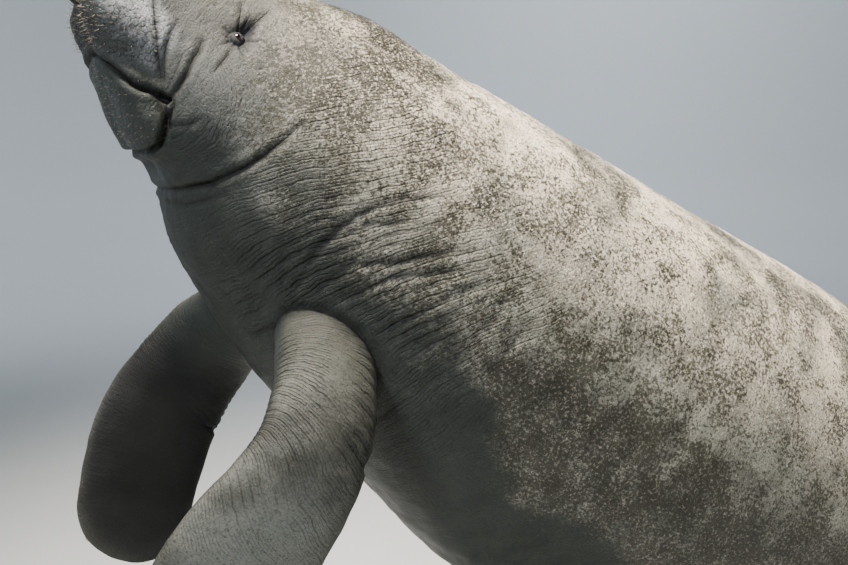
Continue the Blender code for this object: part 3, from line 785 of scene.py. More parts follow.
for spot in nostrils:
    u, v, w = spot.local(straight).T
    reach = np.hypot(u, v)
    close = (reach < 0.03) & (np.abs(w) < 0.02)
    aim = np.degrees(np.arctan2(v, u)) - 90
    taper = np.sqrt(np.clip(1 - (((aim + 180) % 360 - 180) / 104) ** 2, 0, 1))
    groove = np.exp(-(((reach - NOSTRIL_RADIUS) / (0.0008 + 0.0018 * taper)) ** 4)) * taper
    rim = bell(reach - NOSTRIL_RADIUS - 0.0048, 0.0024) * taper
    relief += np.where(close, 0.0009 * rim - NOSTRIL_DEPTH * groove, 0)

# Ear holes no wider than a pin head
EAR_S, EAR_H = 0.292, 0.030
off = np.hypot(s - EAR_S, h - EAR_H)
relief -= 0.0030 * bell(off, 0.0022) + 0.0010 * bell(off, 0.009)

# A fold of the trunk lies over the root of each flipper, in front, above and behind.
over_root = ramp(-0.265, -0.235, h)
for height, off, width in ((-0.0036, 0.0025, 0.0050), (0.0016, 0.0150, 0.0090), (0.0016, -0.012, 0.010)):
    relief += height * bell(beside - off, width) * over_root
paint_crease_shade(beside - 0.001, over_root)
off_root = ramp(0.006, 0.040, beside)

# Wrinkles round the neck and shoulder stand square to the axis low down and lean back above.
WRINKLES, FIN_WRINKLES, NECK_WRINKLES, BODY_ROLLS = 0.015, 0.011, 0.013, 0.043
leaned = s - 0.85 * np.logaddexp(0, (h + 0.13) / 0.030) * 0.030
leaned = leaned + 0.0070 * wander(0.060, 11) + 0.0013 * wander(0.020, 12)
flank = (0.25 + 0.75 * ramp(0.03, -0.07, h)) * ramp(0.12, 0.04, h) * ramp(0.05, 0.14, y)
shoulder = ramp(0.345, 0.42, s) * ramp(0.80, 0.58, s) * flank * off_root
patchy = 0.55 + 0.45 * wander(0.045, 13)
relief -= trunk_share * shoulder * patchy * 0.0040 * furrows(leaned, WRINKLES, 0.0024)
neck = ramp(0.29, 0.34, s) * ramp(0.52, 0.40, s)
neck_phase = s - 0.30 * (h + 0.1) + 0.004 * wander(0.05, 21)
neck_wrinkles = (0.5 + 0.5 * wander(0.05, 22)) * 0.0018 * furrows(neck_phase, NECK_WRINKLES, 0.0021)
relief -= trunk_share * neck * neck_wrinkles
body_phase = s + 0.020 * wander(0.25, 23) + 0.004 * wander(0.05, 24)
rolling = ramp(0.35, 0.55, s) * ramp(2.7, 2.3, s) * off_root
rolls = (0.4 + 0.4 * wander(0.12, 25)) * 0.0020 * furrows(body_phase, BODY_ROLLS, 0.009)
relief -= trunk_share * rolling * rolls

# Slight creases ring the corner of the mouth.
ringed = from_corner + 0.0050 * wander(0.045, 61) + 0.0012 * wander(0.016, 62)
cheek = ramp(0.015, 0.030, ringed) * ramp(0.110, 0.080, ringed) * ramp(0.19, 0.22, s)
cheek = cheek * ramp(0.29, 0.26, s) * (0.5 + 0.5 * wander(0.03, 63))
relief -= cheek * 0.0011 * furrows(ringed, WRINKLES, 0.0022)

# Creases across the flippers: long ones at both edges by the elbow, where they fan out from its
# front, fine ones all the way down, and a notch in the rear edge.
ELBOW_RUN = 0.150
# The notches' shares of the way down the left flipper and the right one
NOTCHES_AT = (0.360, 0.545)
rear_share = rear / fin_width
fan = 1 - 1 / (1 + 0.27 * np.clip(rear_share, -1, 1))
slant = run - 0.10 * rear - 0.30 * np.minimum(rear, 0) * ramp(0.75, 0.45, share)
slant = slant - 0.30 * rear * ramp(0.45, 0.75, share) - np.clip(run - ELBOW_RUN, -0.08, 0.08) * fan
slant = 0.88 * slant + 0.0050 * wander(0.070, 31) + 0.0010 * wander(0.020, 34)
outer = 0.25 + 0.75 * ramp(-0.014, 0.002, outward)
notch_at = np.where(straight[:, 1] < 0, *NOTCHES_AT)
at_rear = ramp(-0.05, 0.60, rear_share) * ramp(0.08, 0.14, share)
at_rear = at_rear * ramp(0.04, -0.02, share - notch_at)
at_front = ramp(-0.15, -0.75, rear_share) * ramp(0.12, 0.20, share) * ramp(0.48, 0.38, share)
uneven = 0.6 + 0.4 * wander(0.05, 33)
depth = 0.0042 * at_rear + 0.0026 * at_front
relief -= fin * outer * depth * uneven * furrows(slant, FIN_WRINKLES, 0.0020)
notch = bell(share - notch_at, 0.010) * ramp(0.7, 1.0, rear_share)
relief -= fin * notch * 0.0045
relief += fin * 0.0012 * wander(0.035, 35)

# Bristle cushions of the upper lip and jaw are pebbled; the rest of the hide is gently uneven.
pads = ramp(0.006, -0.004, np.minimum(pad_distance(side_y, *LIP_PAD[:3]), 1)) * ramp(0.20, 0.17, s)
jaw = ramp(0.004, -0.002, jaw_distance(straight)) * (s < 0.24)
relief += (pads + 0.6 * jaw) * 0.0012 * wander(0.0075, 41)
# The chin is full in the middle, with shallow creases across it
chin_front = jaw * ramp(0.19, 0.14, s) * bell(y, 0.055)
chin_phase = s + 0.25 * np.abs(y) + 0.006 * wander(0.03, 46)
relief += 0.0035 * chin_front
relief -= 0.0016 * chin_front * (0.6 + 0.4 * wander(0.03, 47)) * furrows(chin_phase, 0.021, 0.0034)
lip_phase = s + 0.25 * h + 0.004 * wander(0.03, 44)
relief -= pads * (0.6 + 0.4 * wander(0.02, 45)) * 0.0013 * furrows(lip_phase, 0.0095, 0.0020)
relief += trunk_share * 0.0014 * wander(0.045, 42) + 0.0006 * wander(0.016, 43)

# Swellings are kept low at the snout tip, so that it stays inside the solid's length
relief = np.where(relief > 0, relief * (0.35 + 0.65 * ramp(0.0, 0.05, s)), relief) - SINK
set_points(skin_mesh, bend(straight + normals * relief[:, None]) + SNOUT)
skin_mesh.name = "skin"
skin_mesh.shade_smooth()


def store(mesh, name, values):
    """Keeps a value, or a vector, for each point of a mesh."""
    values = np.asarray(values, float)
    kind = "FLOAT_VECTOR" if values.ndim == 2 else "FLOAT"
    layer = mesh.attributes.new(name, kind, "POINT")
    layer.data.foreach_set("vector" if values.ndim == 2 else "value", np.ascontiguousarray(values).ravel())


turn_up = np.degrees(np.arctan2(y, h - widest(s)))  # 0 on the back, 180 under the belly
on_back = ramp(98, 30, turn_up)
# How deep each point lies in a hollow of the relief: the hollows are painted darker as shade, and bristles
# keep out of them
hollow = np.clip((-relief - 0.0012) / 0.0050, 0, 1)
# The underside's painted shade starts lower, and more sharply, on the body than on the neck
clear_from = 106 + 22 * ramp(0.45, 0.85, s) + 11 * wander(0.06, 51) + 5 * wander(0.012, 52)
blur = 5 + 11 * ramp(0.75, 0.35, s)
under = ramp(-1, 1, (turn_up - clear_from) / blur)
bare_to = 0.025 * on_back + 0.035 * wander(0.045, 61) + 0.012 * wander(0.012, 62)
# The tail stock is creased across, and the paddle has creases that fan out to its rim
stock = ramp(2.00, 2.30, s) * ramp(2.58, 2.48, s)
paddle = ramp(2.62, 2.74, s)
fanned = 0.35 * straight[:, 1] / np.maximum(s - 2.30, 0.1)
wrinkled = trunk_share * np.clip(shoulder + 0.5 * neck + 0.6 * cheek + 0.5 * stock + 0.5 * paddle, 0, 1)
flipper_creases = fin * outer * np.clip(0.42 + 0.8 * at_rear + 0.8 * at_front, 0, 1)
# Both phases are kept so that a wrinkle falls at every whole WRINKLES.
phase = np.where(fin > 0.5, slant * WRINKLES / FIN_WRINKLES, np.where(s < 0.3, ringed, leaned))
phase = np.where(s > 2.60, fanned, phase)
low_flank = ramp(85, 112, turn_up) * ramp(0.58, 0.75, s) * ramp(2.2, 1.7, s)
nape = ramp(0.18, 0.34, s) * ramp(0.54, 0.34, s) * ramp(95, 65, turn_up)
broken = 0.70 + 0.30 * wander(0.06, 63)
# What the hide's material reads at each point
for name, values in {
    "plan": straight,
    "run": np.stack([run, rear, outward], -1),
    "fin": fin,
    "hollow": hollow,
    # The top of the body, painted paler as painted light
    "upper": on_back * trunk_share,
    # The underside, and the lower side of the jaw, painted darker as shade
    "under": np.maximum(under, 0.90 * jaw * ramp(-0.080, -0.105, h)) * trunk_share,
    "pads": pads + 0.25 * jaw,
    # Each point's side of, and share in, the painted shade along the nearest fold
    "crease_shade": np.stack([crease_shade_off, crease_shade_share, np.zeros(len(s))], -1),
    "face": ramp(0.300, 0.215, s + bare_to) * trunk_share,
    "grey": ramp(0.44, 0.24, s + 0.04 * on_back) * trunk_share,
    # The inner faces of the flippers, painted darker as shade
    "inner_shade": ramp(0.010, -0.010, outward),
    "creases": np.stack([phase, wrinkled, flipper_creases], -1),
    "algae": np.clip(0.50 + 0.50 * low_flank + 0.55 * nape * broken, 0, 1),
    "eye_shade": np.clip(eye_shade, 0, 1),
}.items():
    store(skin_mesh, name, values)


def colour(code):
    """An sRGB hex colour as linear RGBA."""
    parts = [int(code[i : i + 2], 16) / 255 for i in (1, 3, 5)]
    return (*(p / 12.92 if p <= 0.04045 else ((p + 0.055) / 1.055) ** 2.4 for p in parts), 1.0)


# Short names of node kinds: the type, its settings, and the output to take, or the first live one.
# Settings in lower case are properties and the others inputs. A kind in capitals is a Math operation.
KINDS = {
    "axes": ("ShaderNodeSeparateXYZ", {}, "X"),
    "bump": ("ShaderNodeBump", {}, None),
    "cells": ("ShaderNodeTexVoronoi", {"feature": "F1"}, "Distance"),
    "instances": ("GeometryNodeInstanceOnPoints", {}, None),
    "kept": ("ShaderNodeAttribute", {}, "Fac"),
    "mix": ("ShaderNodeMix", {"data_type": "RGBA"}, None),
    "noise": ("ShaderNodeTexNoise", {"Detail": 3.0, "Roughness": 0.55}, "Fac"),
    "place": ("ShaderNodeTexCoord", {}, "Object"),
    "ramp": ("ShaderNodeMapRange", {"interpolation_type": "SMOOTHSTEP"}, None),
    "real": ("GeometryNodeRealizeInstances", {}, None),
    "stretch": ("ShaderNodeVectorMath", {"operation": "MULTIPLY"}, None),
}


def fill(made, *values, **named):
    """Gives a node's inputs their values or links, in the order of its live inputs or by name."""
    live = [place for place in made.inputs if place.enabled]
    chosen = [made.inputs[name.replace("_", " ")] for name in named]
    for place, value in (*zip(chosen, named.values()), *zip(live, values)):
        if isinstance(value, bpy.types.NodeSocket):
            made.id_data.links.new(value, place)
        else:
            place.default_value = value


def adder(tree):
    """The function that adds a node, with its settings and links, to a tree and returns an output."""

    def add(kind, *values, output=None, **more):
        if kind.isupper():
            values = (add(kind, *values[:-1]), values[-1]) if len(values) > 2 else values
            kind, more = "ShaderNodeMath", {"operation": kind}
        full, settings, usual = KINDS.get(kind, (kind, {}, None))
        made = tree.nodes.new(full)
        settings = {**settings, **more}
        for name in [name for name in settings if name[0].islower()]:
            setattr(made, name, settings.pop(name))
        fill(made, *values, **settings)
        if output or usual:
            return made.outputs[output or usual]
        return next((place for place in made.outputs if place.enabled), None)

    return add


def new_material(name):
    """A material, the function that adds its nodes, and its surface node."""
    material = bpy.data.materials.new(name)
    material.use_nodes = True
    return material, adder(material.node_tree), material.node_tree.nodes["Principled BSDF"]


# Living hide, matt and slightly greasy: grey-brown with olive algae in blotches, painted paler on top as
# painted light, and painted darker underneath, on the flippers' inner faces and in its folds and hollows as
# painted shade.
hide_stuff, add, shader = new_material("wrinkled hide")
plan, run_at, creases, crease_shade_at = (
    add("kept", attribute_name=name, output="Vector") for name in ("plan", "run", "creases", "crease_shade")
)
fin_at, hollow_shade_at, lit_top_at, face_at, inner_shade_at, under_shade_at, pads_at, algae_at, eye_shade_at, grey_at = (
    add("kept", attribute_name=name)
    for name in ("fin", "hollow", "upper", "face", "inner_shade", "under", "pads", "algae", "eye_shade", "grey")
)
cloud = add("noise", plan, 1 / 0.13, 4)
patch = add("noise", plan, 1 / 0.045, 4, 0.6)
speck = add("noise", plan, 1 / 0.0046, 5, 0.74)
fine_speck = add("noise", plan, 1 / 0.0030, 3, 0.7)
grain = add("noise", plan, 1 / 0.0024, 3, 0.65)
clad = add("MAXIMUM", add("MULTIPLY", face_at, 0.80), add("MULTIPLY", fin_at, 0.90))
bare = add("SUBTRACT", 1.0, clad)

face_tone = add("mix", patch, colour("#323433"), colour("#525553"))
along_fin = add("axes", run_at)
arm_tone = add("mix", patch, colour("#222320"), colour("#3d3f3a"))
hand_tone = add("mix", add("ramp", cloud, 0.35, 0.65), colour("#2d2f2b"), colour("#5e605a"))
fin_tone = add("mix", add("ramp", along_fin, 0.04, 0.24), arm_tone, hand_tone)
# Algae grows in olive blotches, each made of dots; low on the flank and on the nape the hide is darker, with
# more dots.
blotch = add("ramp", add("noise", plan, 1 / 0.055, 4, 0.65), 0.38, 0.62)
thick = add("ramp", algae_at, 0.5, 1.0)
growth = add("ADD", speck, add("ADD", add("MULTIPLY", blotch, 0.12), add("MULTIPLY", thick, 0.10)))
dots = add("MULTIPLY", add("ramp", growth, 0.530, 0.620), bare)
pores = add("MULTIPLY", add("ramp", fine_speck, 0.54, 0.64), add("ramp", bare, 0.0, 1.0, 0.60, 0.75))
# Pale flecks on the bare hide, thicker on top as painted light
pale = add("ramp", add("noise", plan, 1 / 0.0040, 5, 0.75), 0.53, 0.64)
lit_top_flecks = add("ramp", lit_top_at, 0.0, 0.30, 0.16, 0.72)
flecks_and_light = add("MULTIPLY", lit_top_flecks, add("ramp", grey_at, 0.0, 1.0, 1.0, 0.35))
# The underside keeps clear of growth, and is painted a darker, greener grey as shade.
under_shade_tone = add("mix", patch, colour("#1c201d"), colour("#2d312d"))
# The inner faces of the flippers are painted darker, darkest down the hand, as shade
inner_shade_tone = add("mix", add("ramp", along_fin, 0.10, 0.26), colour("#282c29"), colour("#0d0e0f"))


def coated(tone, *coats):
    """A tone under coats, each a share and a colour."""
    for share, coat in coats:
        tone = add("mix", share, tone, colour(coat) if isinstance(coat, str) else coat)
    return tone


tone = coated(
    add("mix", add("ramp", patch, 0.35, 0.65), colour("#595950"), colour("#7c7b70")),
    # Pale cream clouds on the back are painted light from above
    (add("MULTIPLY", add("ramp", cloud, 0.34, 0.56), lit_top_at), "#eaddc4"),
    (add("MULTIPLY", grey_at, 0.95), face_tone),
    (add("MULTIPLY", fin_at, 0.92), fin_tone),
    # The bristle cushions are paler: partly their own grey, partly painted light on the lit snout
    (add("MULTIPLY", pads_at, 0.75), "#bcbfc0"),
    (add("MULTIPLY", dots, add("ramp", patch, 0.3, 0.7, 0.98, 0.82)), "#2b2a1f"),
    (add("MULTIPLY", thick, bare, add("ramp", cloud, 0.35, 0.60, 0.80, 0.30)), "#24241e"),
    (pores, "#2b2a25"),
    (add("MULTIPLY", pale, bare, flecks_and_light), "#ddd6c6"),
    (add("MULTIPLY", under_shade_at, 0.92), under_shade_tone),
    (add("MULTIPLY", fin_at, inner_shade_at, 0.94), inner_shade_tone),
)
tone = add("mix", 1.0, tone, add("ramp", grain, 0.25, 0.75, 0.78, 1.22), blend_type="MULTIPLY")

# Creases follow the wrinkles of the neck and shoulder, and run across each flipper; they are pressed in, and
# painted darker in their furrows as shade.
phase, wrinkled_at, flipper_creases_at = add("axes", creases).node.outputs
waver = add("SUBTRACT", add("noise", plan, 1 / 0.022, 2), 0.5)
phase = add("ADD", phase, add("MULTIPLY", waver, 0.008))
worn = add("ramp", add("noise", plan, 1 / 0.050, 3), 0.38, 0.60, 0.20, 1.0)
worn_fine = add("ramp", add("noise", plan, 1 / 0.035, 3), 0.62, 0.40, 0.10, 0.75)
long_folds = add("ramp", add("PINGPONG", phase, WRINKLES / 2), 0.0019, 0.0002)
short_folds = add("ramp", add("PINGPONG", phase, WRINKLES / 6), 0.0010, 0.0001)
folds = add("MAXIMUM", add("MULTIPLY", long_folds, worn), add("MULTIPLY", short_folds, worn_fine))
folds = add("MULTIPLY", add("MAXIMUM", wrinkled_at, flipper_creases_at), folds)
# A sharp and a soft line of painted shade along the nearest fold; the sharp one is also pressed in
fold_off, fold_share, _ = add("axes", crease_shade_at).node.outputs
fold_off = add("ABSOLUTE", fold_off)
sharp = add("MULTIPLY", add("ramp", fold_off, 0.0017, 0.0001), fold_share)
soft = add("MULTIPLY", add("ramp", fold_off, 0.0060, 0.0005), fold_share, 0.50)
pebbles = add("cells", plan, 1 / 0.0052)
pits = add("MULTIPLY", add("ramp", pebbles, 0.45, 0.75), pads_at)
tone = coated(
    tone,
    # Painted shade in the furrows of the wrinkles
    (add("MULTIPLY", folds, 0.60), "#1b1916"),
    # Painted shade along the folds
    (add("MAXIMUM", add("MULTIPLY", sharp, 0.80), soft), "#191816"),
    # Painted shade in the hollows of the relief
    (add("MULTIPLY", hollow_shade_at, 0.90), "#171614"),
    # Painted shade in the eye's hollow and under the brow
    (add("MULTIPLY", eye_shade_at, 0.78), "#22242a"),
    # Painted shade in the pits of the bristle cushions
    (add("MULTIPLY", pits, 0.45), "#2b2927"),
)

# Under them lies a net of finer creases that run round the body, and crazing between pores.
round_body = add("noise", add("stretch", plan, (1.0, 0.20, 0.20)), 1 / 0.0046, 3, 0.6, Distortion=0.35)
cross_fin = add("noise", add("stretch", run_at, (1.0, 0.12, 0.4)), 1 / 0.0040, 3, 0.55, Distortion=0.10)
lines = add("mix", fin_at, round_body, cross_fin, data_type="FLOAT")
push = add("ShaderNodeTexNoise", plan, 1 / 0.02, 2.0, output="Color")
push = add("stretch", push, (0.007, 0.007, 0.007))
warped = add("ShaderNodeVectorMath", plan, push, operation="ADD")
crazing = add("cells", warped, 1 / 0.0095, feature="DISTANCE_TO_EDGE")
cracks = add("MULTIPLY", add("ramp", crazing, 0.0, 0.10), add("ramp", fin_at, 0.0, 1.0, 1.0, 0.35))
way_out = None
for height, distance, strength in (
    (add("SUBTRACT", 1.0, folds), 0.0026, 0.75),
    (add("SUBTRACT", 1.0, sharp), 0.0012, 0.60),
    (lines, 0.0028, 0.45),
    (cracks, 0.0011, 0.28),
    (add("SUBTRACT", 1.0, pits), 0.0016, 0.80),
    (grain, 0.0014, 0.55),
    (speck, 0.0020, 0.40),
):
    under_it = {"Normal": way_out} if way_out else {}
    way_out = add("bump", Height=height, Distance=distance, Strength=strength, **under_it)
roughness = add("ramp", patch, 0.3, 0.7, 0.42, 0.60)
fill(shader, Base_Color=tone, Specular_IOR_Level=0.14, Roughness=roughness, Normal=way_out)


def piece_from(name, mesh, material, slot, *nodes):
    """Puts a finished mesh in the scene as a piece of the one body."""
    mesh.name = name
    mesh.materials.clear()
    mesh.materials.append(material)
    made = placed(name, mesh)
    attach(made, "root")
    if nodes:
        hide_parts(*nodes)


piece_from(
    "skin", skin_mesh, hide_stuff, "skin", "head", "lower_jaw", "neck", "chest", "belly", "tail_stock",
    "tail_paddle", "arm_left", "arm_right", "hand_left", "hand_right",
)


# Eyes.
# Small wet balls, deep brown with a dark pupil, set well back between thick lids.


def balls(name, u_segments, v_segments, *shapings):
    """A mesh of balls, each put in place by a function, and the points of the last ball as it was."""
    mesh = bpy.data.meshes.new(name)
    with edited(mesh) as shape:
        for shaping in shapings:
            made = bmesh.ops.create_uvsphere(shape, u_segments=u_segments, v_segments=v_segments, radius=1)
            ball = np.array([vertex.co for vertex in made["verts"]])
            for vertex, at in zip(made["verts"], bend(shaping(ball)) + SNOUT):
                vertex.co = at
        shape.verts.index_update()
        ball = ball[np.argsort([vertex.index for vertex in made["verts"]])]
        shape.normal_update()
        bmesh.ops.recalc_face_normals(shape, faces=shape.faces)
    mesh.shade_smooth()
    return mesh, ball


# Shares of the eye's radius, and an angle
CORNEA_RISE, CORNEA_SINK, CORNEA_WIDTH = 0.030, 0.032, 0.45
eye_stuff, add, shader = new_material("wet dark eye")
look_at = add("kept", attribute_name="from_pupil")
iris = add("mix", add("ramp", look_at, 0.30, 0.36), colour("#050403"), colour("#2b1c12"))
iris = add("mix", add("ramp", look_at, 0.66, 0.80), iris, colour("#3f2f26"))
fill(shader, Base_Color=iris, Roughness=0.12, Coat_Weight=0.8, Coat_Roughness=0.03)


def from_pupil(ball):
    return np.arccos(np.clip(ball[:, 2], -1, 1))


def eye_shaping(spot):
    def shaping(ball):
        cornea = CORNEA_RISE * bell(from_pupil(ball), CORNEA_WIDTH) - CORNEA_SINK
        local = ball * (1 + cornea)[:, None] * EYE_RADIUS - np.array([0, 0, EYE_DEPTH + EYE_SET_IN])
        return spot.place(local)

    return shaping


for side_name, spot in zip(("left", "right"), eyes):
    mesh, ball = balls(f"eyeball_{side_name}", 48, 32, eye_shaping(spot))
    store(mesh, "from_pupil", from_pupil(ball))
    piece_from(f"eyeball_{side_name}", mesh, eye_stuff, "eye", f"eye_{side_name}")

# Nails.
# Three flat plates of horn near the tip of each flipper, ridged lengthwise and let into the skin.
# Each one's share of the flipper's length, and its place from the front edge, -1, to the rear, 1
NAILS = ((0.930, -0.62), (0.962, -0.18), (0.945, 0.34))
NAIL_HALVES, NAIL_SQUARENESS = (0.0083, 0.0122, 0.0029), 0.8
horn, add, shader = new_material("dull pale horn")
ridges = add("noise", add("stretch", add("place"), (1.0, 1.0, 0.25)), 1 / 0.0015, 2)
tone = add("mix", add("ramp", ridges, 0.3, 0.7), colour("#8d7c62"), colour("#bfae90"))
fill(
    shader, Base_Color=tone, Roughness=0.42, Normal=add("bump", Height=ridges, Distance=0.0004, Strength=0.6)
)


def nail_shaping(flipper, at, across):
    down, rear_way, out_way = flipper.frame(np.array(at))
    width, thick = flipper.halves(np.array(at))
    lean = across * math.pi / 2
    middle = flipper.middle(np.array(at))
    middle = middle + rear_way * width * math.sin(lean) + out_way * thick * math.cos(lean)

    def shaping(ball):
        local = np.sign(ball) * np.abs(ball) ** NAIL_SQUARENESS * NAIL_HALVES
        return (middle + local @ np.stack([rear_way, down, out_way])) * (1, flipper.side, 1)

    return shaping


for side_name, side in (("left", -1), ("right", 1)):
    shapings = [nail_shaping(flippers[side], *nail) for nail in NAILS]
    mesh, _ = balls(f"nails_{side_name}", 28, 18, *shapings)
    piece_from(f"nails_{side_name}", mesh, horn, "nail", *(f"nail_{side_name}_{i}" for i in (1, 2, 3)))


# Bristles.
# Short stiff hairs that stand on the cushions of the upper lip and on the jaw, each a tapered quill.


def new_tree(name, **kinds):
    """A tree that takes Geometry, these inputs and a Material, with its adder and its inputs."""
    tree = bpy.data.node_groups.new(name, "GeometryNodeTree")
    for title, kind in {"Geometry": "Geometry", **kinds, "Material": "Material"}.items():
        tree.interface.new_socket(title, in_out="INPUT", socket_type="NodeSocket" + kind)
    tree.interface.new_socket("Geometry", in_out="OUTPUT", socket_type="NodeSocketGeometry")
    return tree, adder(tree), tree.nodes.new("NodeGroupInput").outputs


def end_tree(add, given, **shown):
    """Ends a tree with instances, made real and given the tree's material."""
    real = add("real", add("instances", **shown))
    add("NodeGroupOutput", add("GeometryNodeSetMaterial", real, Material=given["Material"]))


def grown_mesh(grown_on, tree, **values):
    """The plain mesh that a tree makes on an object, which is then removed."""
    modifier = grown_on.modifiers.new(tree.name, "NODES")
    modifier.node_group = tree
    for item in tree.interface.items_tree:
        if item.in_out == "INPUT" and item.name in values:
            modifier[item.identifier] = values[item.name]
    grown_on.update_tag()
    mesh = evaluated_mesh(grown_on)
    bpy.data.objects.remove(grown_on)
    return mesh


tree, add, given = new_tree("bristles", Spacing="Float", Length="Float", Thickness="Float", Seed="Int")
roots = add(
    "GeometryNodeDistributePointsOnFaces", distribute_method="POISSON", Mesh=given["Geometry"],
    Distance_Min=given["Spacing"], Density_Max=120000.0, Seed=given["Seed"],
)
quill = add(
    "GeometryNodeMeshCone", fill_type="NGON", Vertices=5, Side_Segments=3, Radius_Top=0.00008,
    Radius_Bottom=add("MULTIPLY", given["Thickness"], 0.5), Depth=given["Length"],
)
height = add("axes", add("GeometryNodeInputPosition"), output="Z")
curl = add("ShaderNodeCombineXYZ", add("MULTIPLY", height, height, 28.0))
curled = add("GeometryNodeSetPosition", quill, Offset=curl)
size = add("FunctionNodeRandomValue", 0.45, 1.0, data_type="FLOAT", Seed=given["Seed"])
LEAN_LOW, LEAN_HIGH = (-0.5, -0.5, -3.1), (0.5, 0.5, 3.1)
lean = add(
    "FunctionNodeRandomValue", LEAN_LOW, LEAN_HIGH, data_type="FLOAT_VECTOR", Seed=given["Seed"]
)
way = add("FunctionNodeRotateRotation", roots.node.outputs["Rotation"], lean, rotation_space="LOCAL")
end_tree(add, given, Points=roots, Instance=curled, Rotation=way, Scale=size)

bristle_stuff, add, shader = new_material("stiff pale bristle")
fill(shader, Base_Color=colour("#8f8370"), Roughness=0.5)


def skin_patch(name, keep):
    """A copy of the skin's faces whose points are all kept."""
    mesh = bpy.data.meshes.new(name)
    with edited(mesh, skin_mesh) as shape:
        loose = [vertex for vertex, kept in zip(shape.verts, keep) if not kept]
        bmesh.ops.delete(shape, geom=loose, context="VERTS")
    return placed(name, mesh)


BRISTLE_POINTS, BRISTLE_SIDES, PATCH = 20, 5, 0.003


def rooted_map(mesh):
    """A map with each bristle as a small patch at its root's place on the head, unrolled round its axis."""
    points = points_of(mesh) - SNOUT
    lean = math.radians(float(tilt(0.15)))
    along = points[:, 0] * math.cos(lean) - points[:, 2] * math.sin(lean)
    above = points[:, 0] * math.sin(lean) + points[:, 2] * math.cos(lean)
    turn = np.arctan2(points[:, 1], above + 0.03) / (2 * math.pi) + 0.5
    flat = np.stack([turn, np.clip(along / 0.4, 0, 1)], -1).reshape(-1, BRISTLE_POINTS, 2)
    middle = flat.mean(axis=1, keepdims=True)
    off = np.stack(np.divmod(np.arange(BRISTLE_POINTS), BRISTLE_SIDES)[::-1], -1) / BRISTLE_SIDES - 0.4
    flat = np.clip(middle + off * PATCH, 0, 1).reshape(-1, 2)
    corners = np.empty(len(mesh.loops), np.int32)
    mesh.loops.foreach_get("vertex_index", corners)
    mesh.uv_layers.new(name="OFBake").data.foreach_set("uv", flat[corners].ravel())


lip = (pads > 0.5) & (hollow < 0.3)
chin = (jaw > 0.5) & (hollow < 0.3) & (s < 0.215)
for name, keep, spacing, length, thickness, seed in (
    ("lip_bristles", lip, 0.0095, 0.0055, 0.0008, 3),
    ("mouth_bristles", lip & (s < 0.10), 0.0068, 0.0100, 0.0012, 4),
    ("chin_bristles", chin, 0.0110, 0.0042, 0.0008, 5),
):
    mesh = grown_mesh(
        skin_patch(name, keep), tree,
        Spacing=spacing, Length=length, Thickness=thickness, Seed=seed, Material=bristle_stuff,
    )
    mesh.shade_smooth()
    rooted_map(mesh)
    piece_from(name, mesh, bristle_stuff, "skin")

# Stand.
# A flat board with rounded corners in satin grey paint, and two steel rods with turned saddles and
# flanges.
board, add, shader = new_material("satin grey paint")
place = add("place")
peel = add("noise", place, 1 / 0.0016, 2)
clouds = add("ramp", add("noise", place, 1 / 0.25, 3), 0.3, 0.7)
fill(
    shader, Base_Color=add("mix", clouds, colour("#3d4042"), colour("#45484a")), Roughness=0.38,
    Normal=add("bump", Height=peel, Distance=0.0003, Strength=0.25),
)

steel, add, shader = new_material("brushed stainless steel")
brush = add("noise", add("stretch", add("place"), (0.02, 0.02, 1.0)), 1 / 0.0009, 3, 0.7)
fill(
    shader, Base_Color=add("mix", add("ramp", brush, 0.3, 0.7), colour("#a9a9a6"), colour("#c4c4c0")),
    Metallic=1.0, Roughness=add("ramp", brush, 0.2, 0.8, 0.26, 0.42),
    Normal=add("bump", Height=brush, Distance=0.0002, Strength=0.4),
)

for name, source, material, slot in (
    ("display_board", "stand_base", board, "stand_board"),
    ("display_rod_front", "stand_rod_front", steel, "stand_metal"),
    ("display_rod_rear", "stand_rod_rear", steel, "stand_metal"),
):
    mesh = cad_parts[source].data.copy()
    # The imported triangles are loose, so they are merged first
    with edited(mesh) as shape:
        bmesh.ops.remove_doubles(shape, verts=shape.verts, dist=2e-5)
        bmesh.ops.dissolve_limit(
            shape, angle_limit=math.radians(0.5), verts=shape.verts, edges=shape.edges
        )
        bmesh.ops.triangulate(shape, faces=[face for face in shape.faces if len(face.verts) > 4])
    mesh.shade_smooth()
    mesh.set_sharp_from_angle(angle=math.radians(32))
    piece_from(name, mesh, material, slot, source)

# Flange screws.
# Stainless cap screws with a hex socket hold each rod's flange to the board, four on a circle round it.
# One screw is turned here, and the tree sets it on every circle.
SCREW_RADIUS, SCREW_HEIGHT, SOCKET_RADIUS, SCREW_CIRCLE, FLANGE = 0.0065, 0.0062, 0.0030, 0.066, 0.014
SCREW_CHAMFER, SOCKET_DEPTH, SCREW_SEGMENTS = 0.0008, 0.003, 24
SCREW_RINGS = (
    (SCREW_RADIUS, -0.001), (SCREW_RADIUS, SCREW_HEIGHT - SCREW_CHAMFER),
    (SCREW_RADIUS - SCREW_CHAMFER, SCREW_HEIGHT), (SOCKET_RADIUS, SCREW_HEIGHT),
    (SOCKET_RADIUS, SCREW_HEIGHT - SOCKET_DEPTH),
)


def turned_rings(shape, rings, segments, radius_at=lambda radius, turn: radius):
    """Adds rings of points (radius, z) to a shape, joined by faces, and returns them."""
    loops = []
    for radius, z in rings:
        loop = [(radius_at(radius, turn), turn) for turn in turns(segments)]
        loops.append([shape.verts.new((r * math.cos(turn), r * math.sin(turn), z)) for r, turn in loop])
    for a, b in zip(loops[:-1], loops[1:]):
        for j in range(segments):
            k = (j + 1) % segments
            shape.faces.new((a[j], b[j], b[k], a[k]))
    return loops


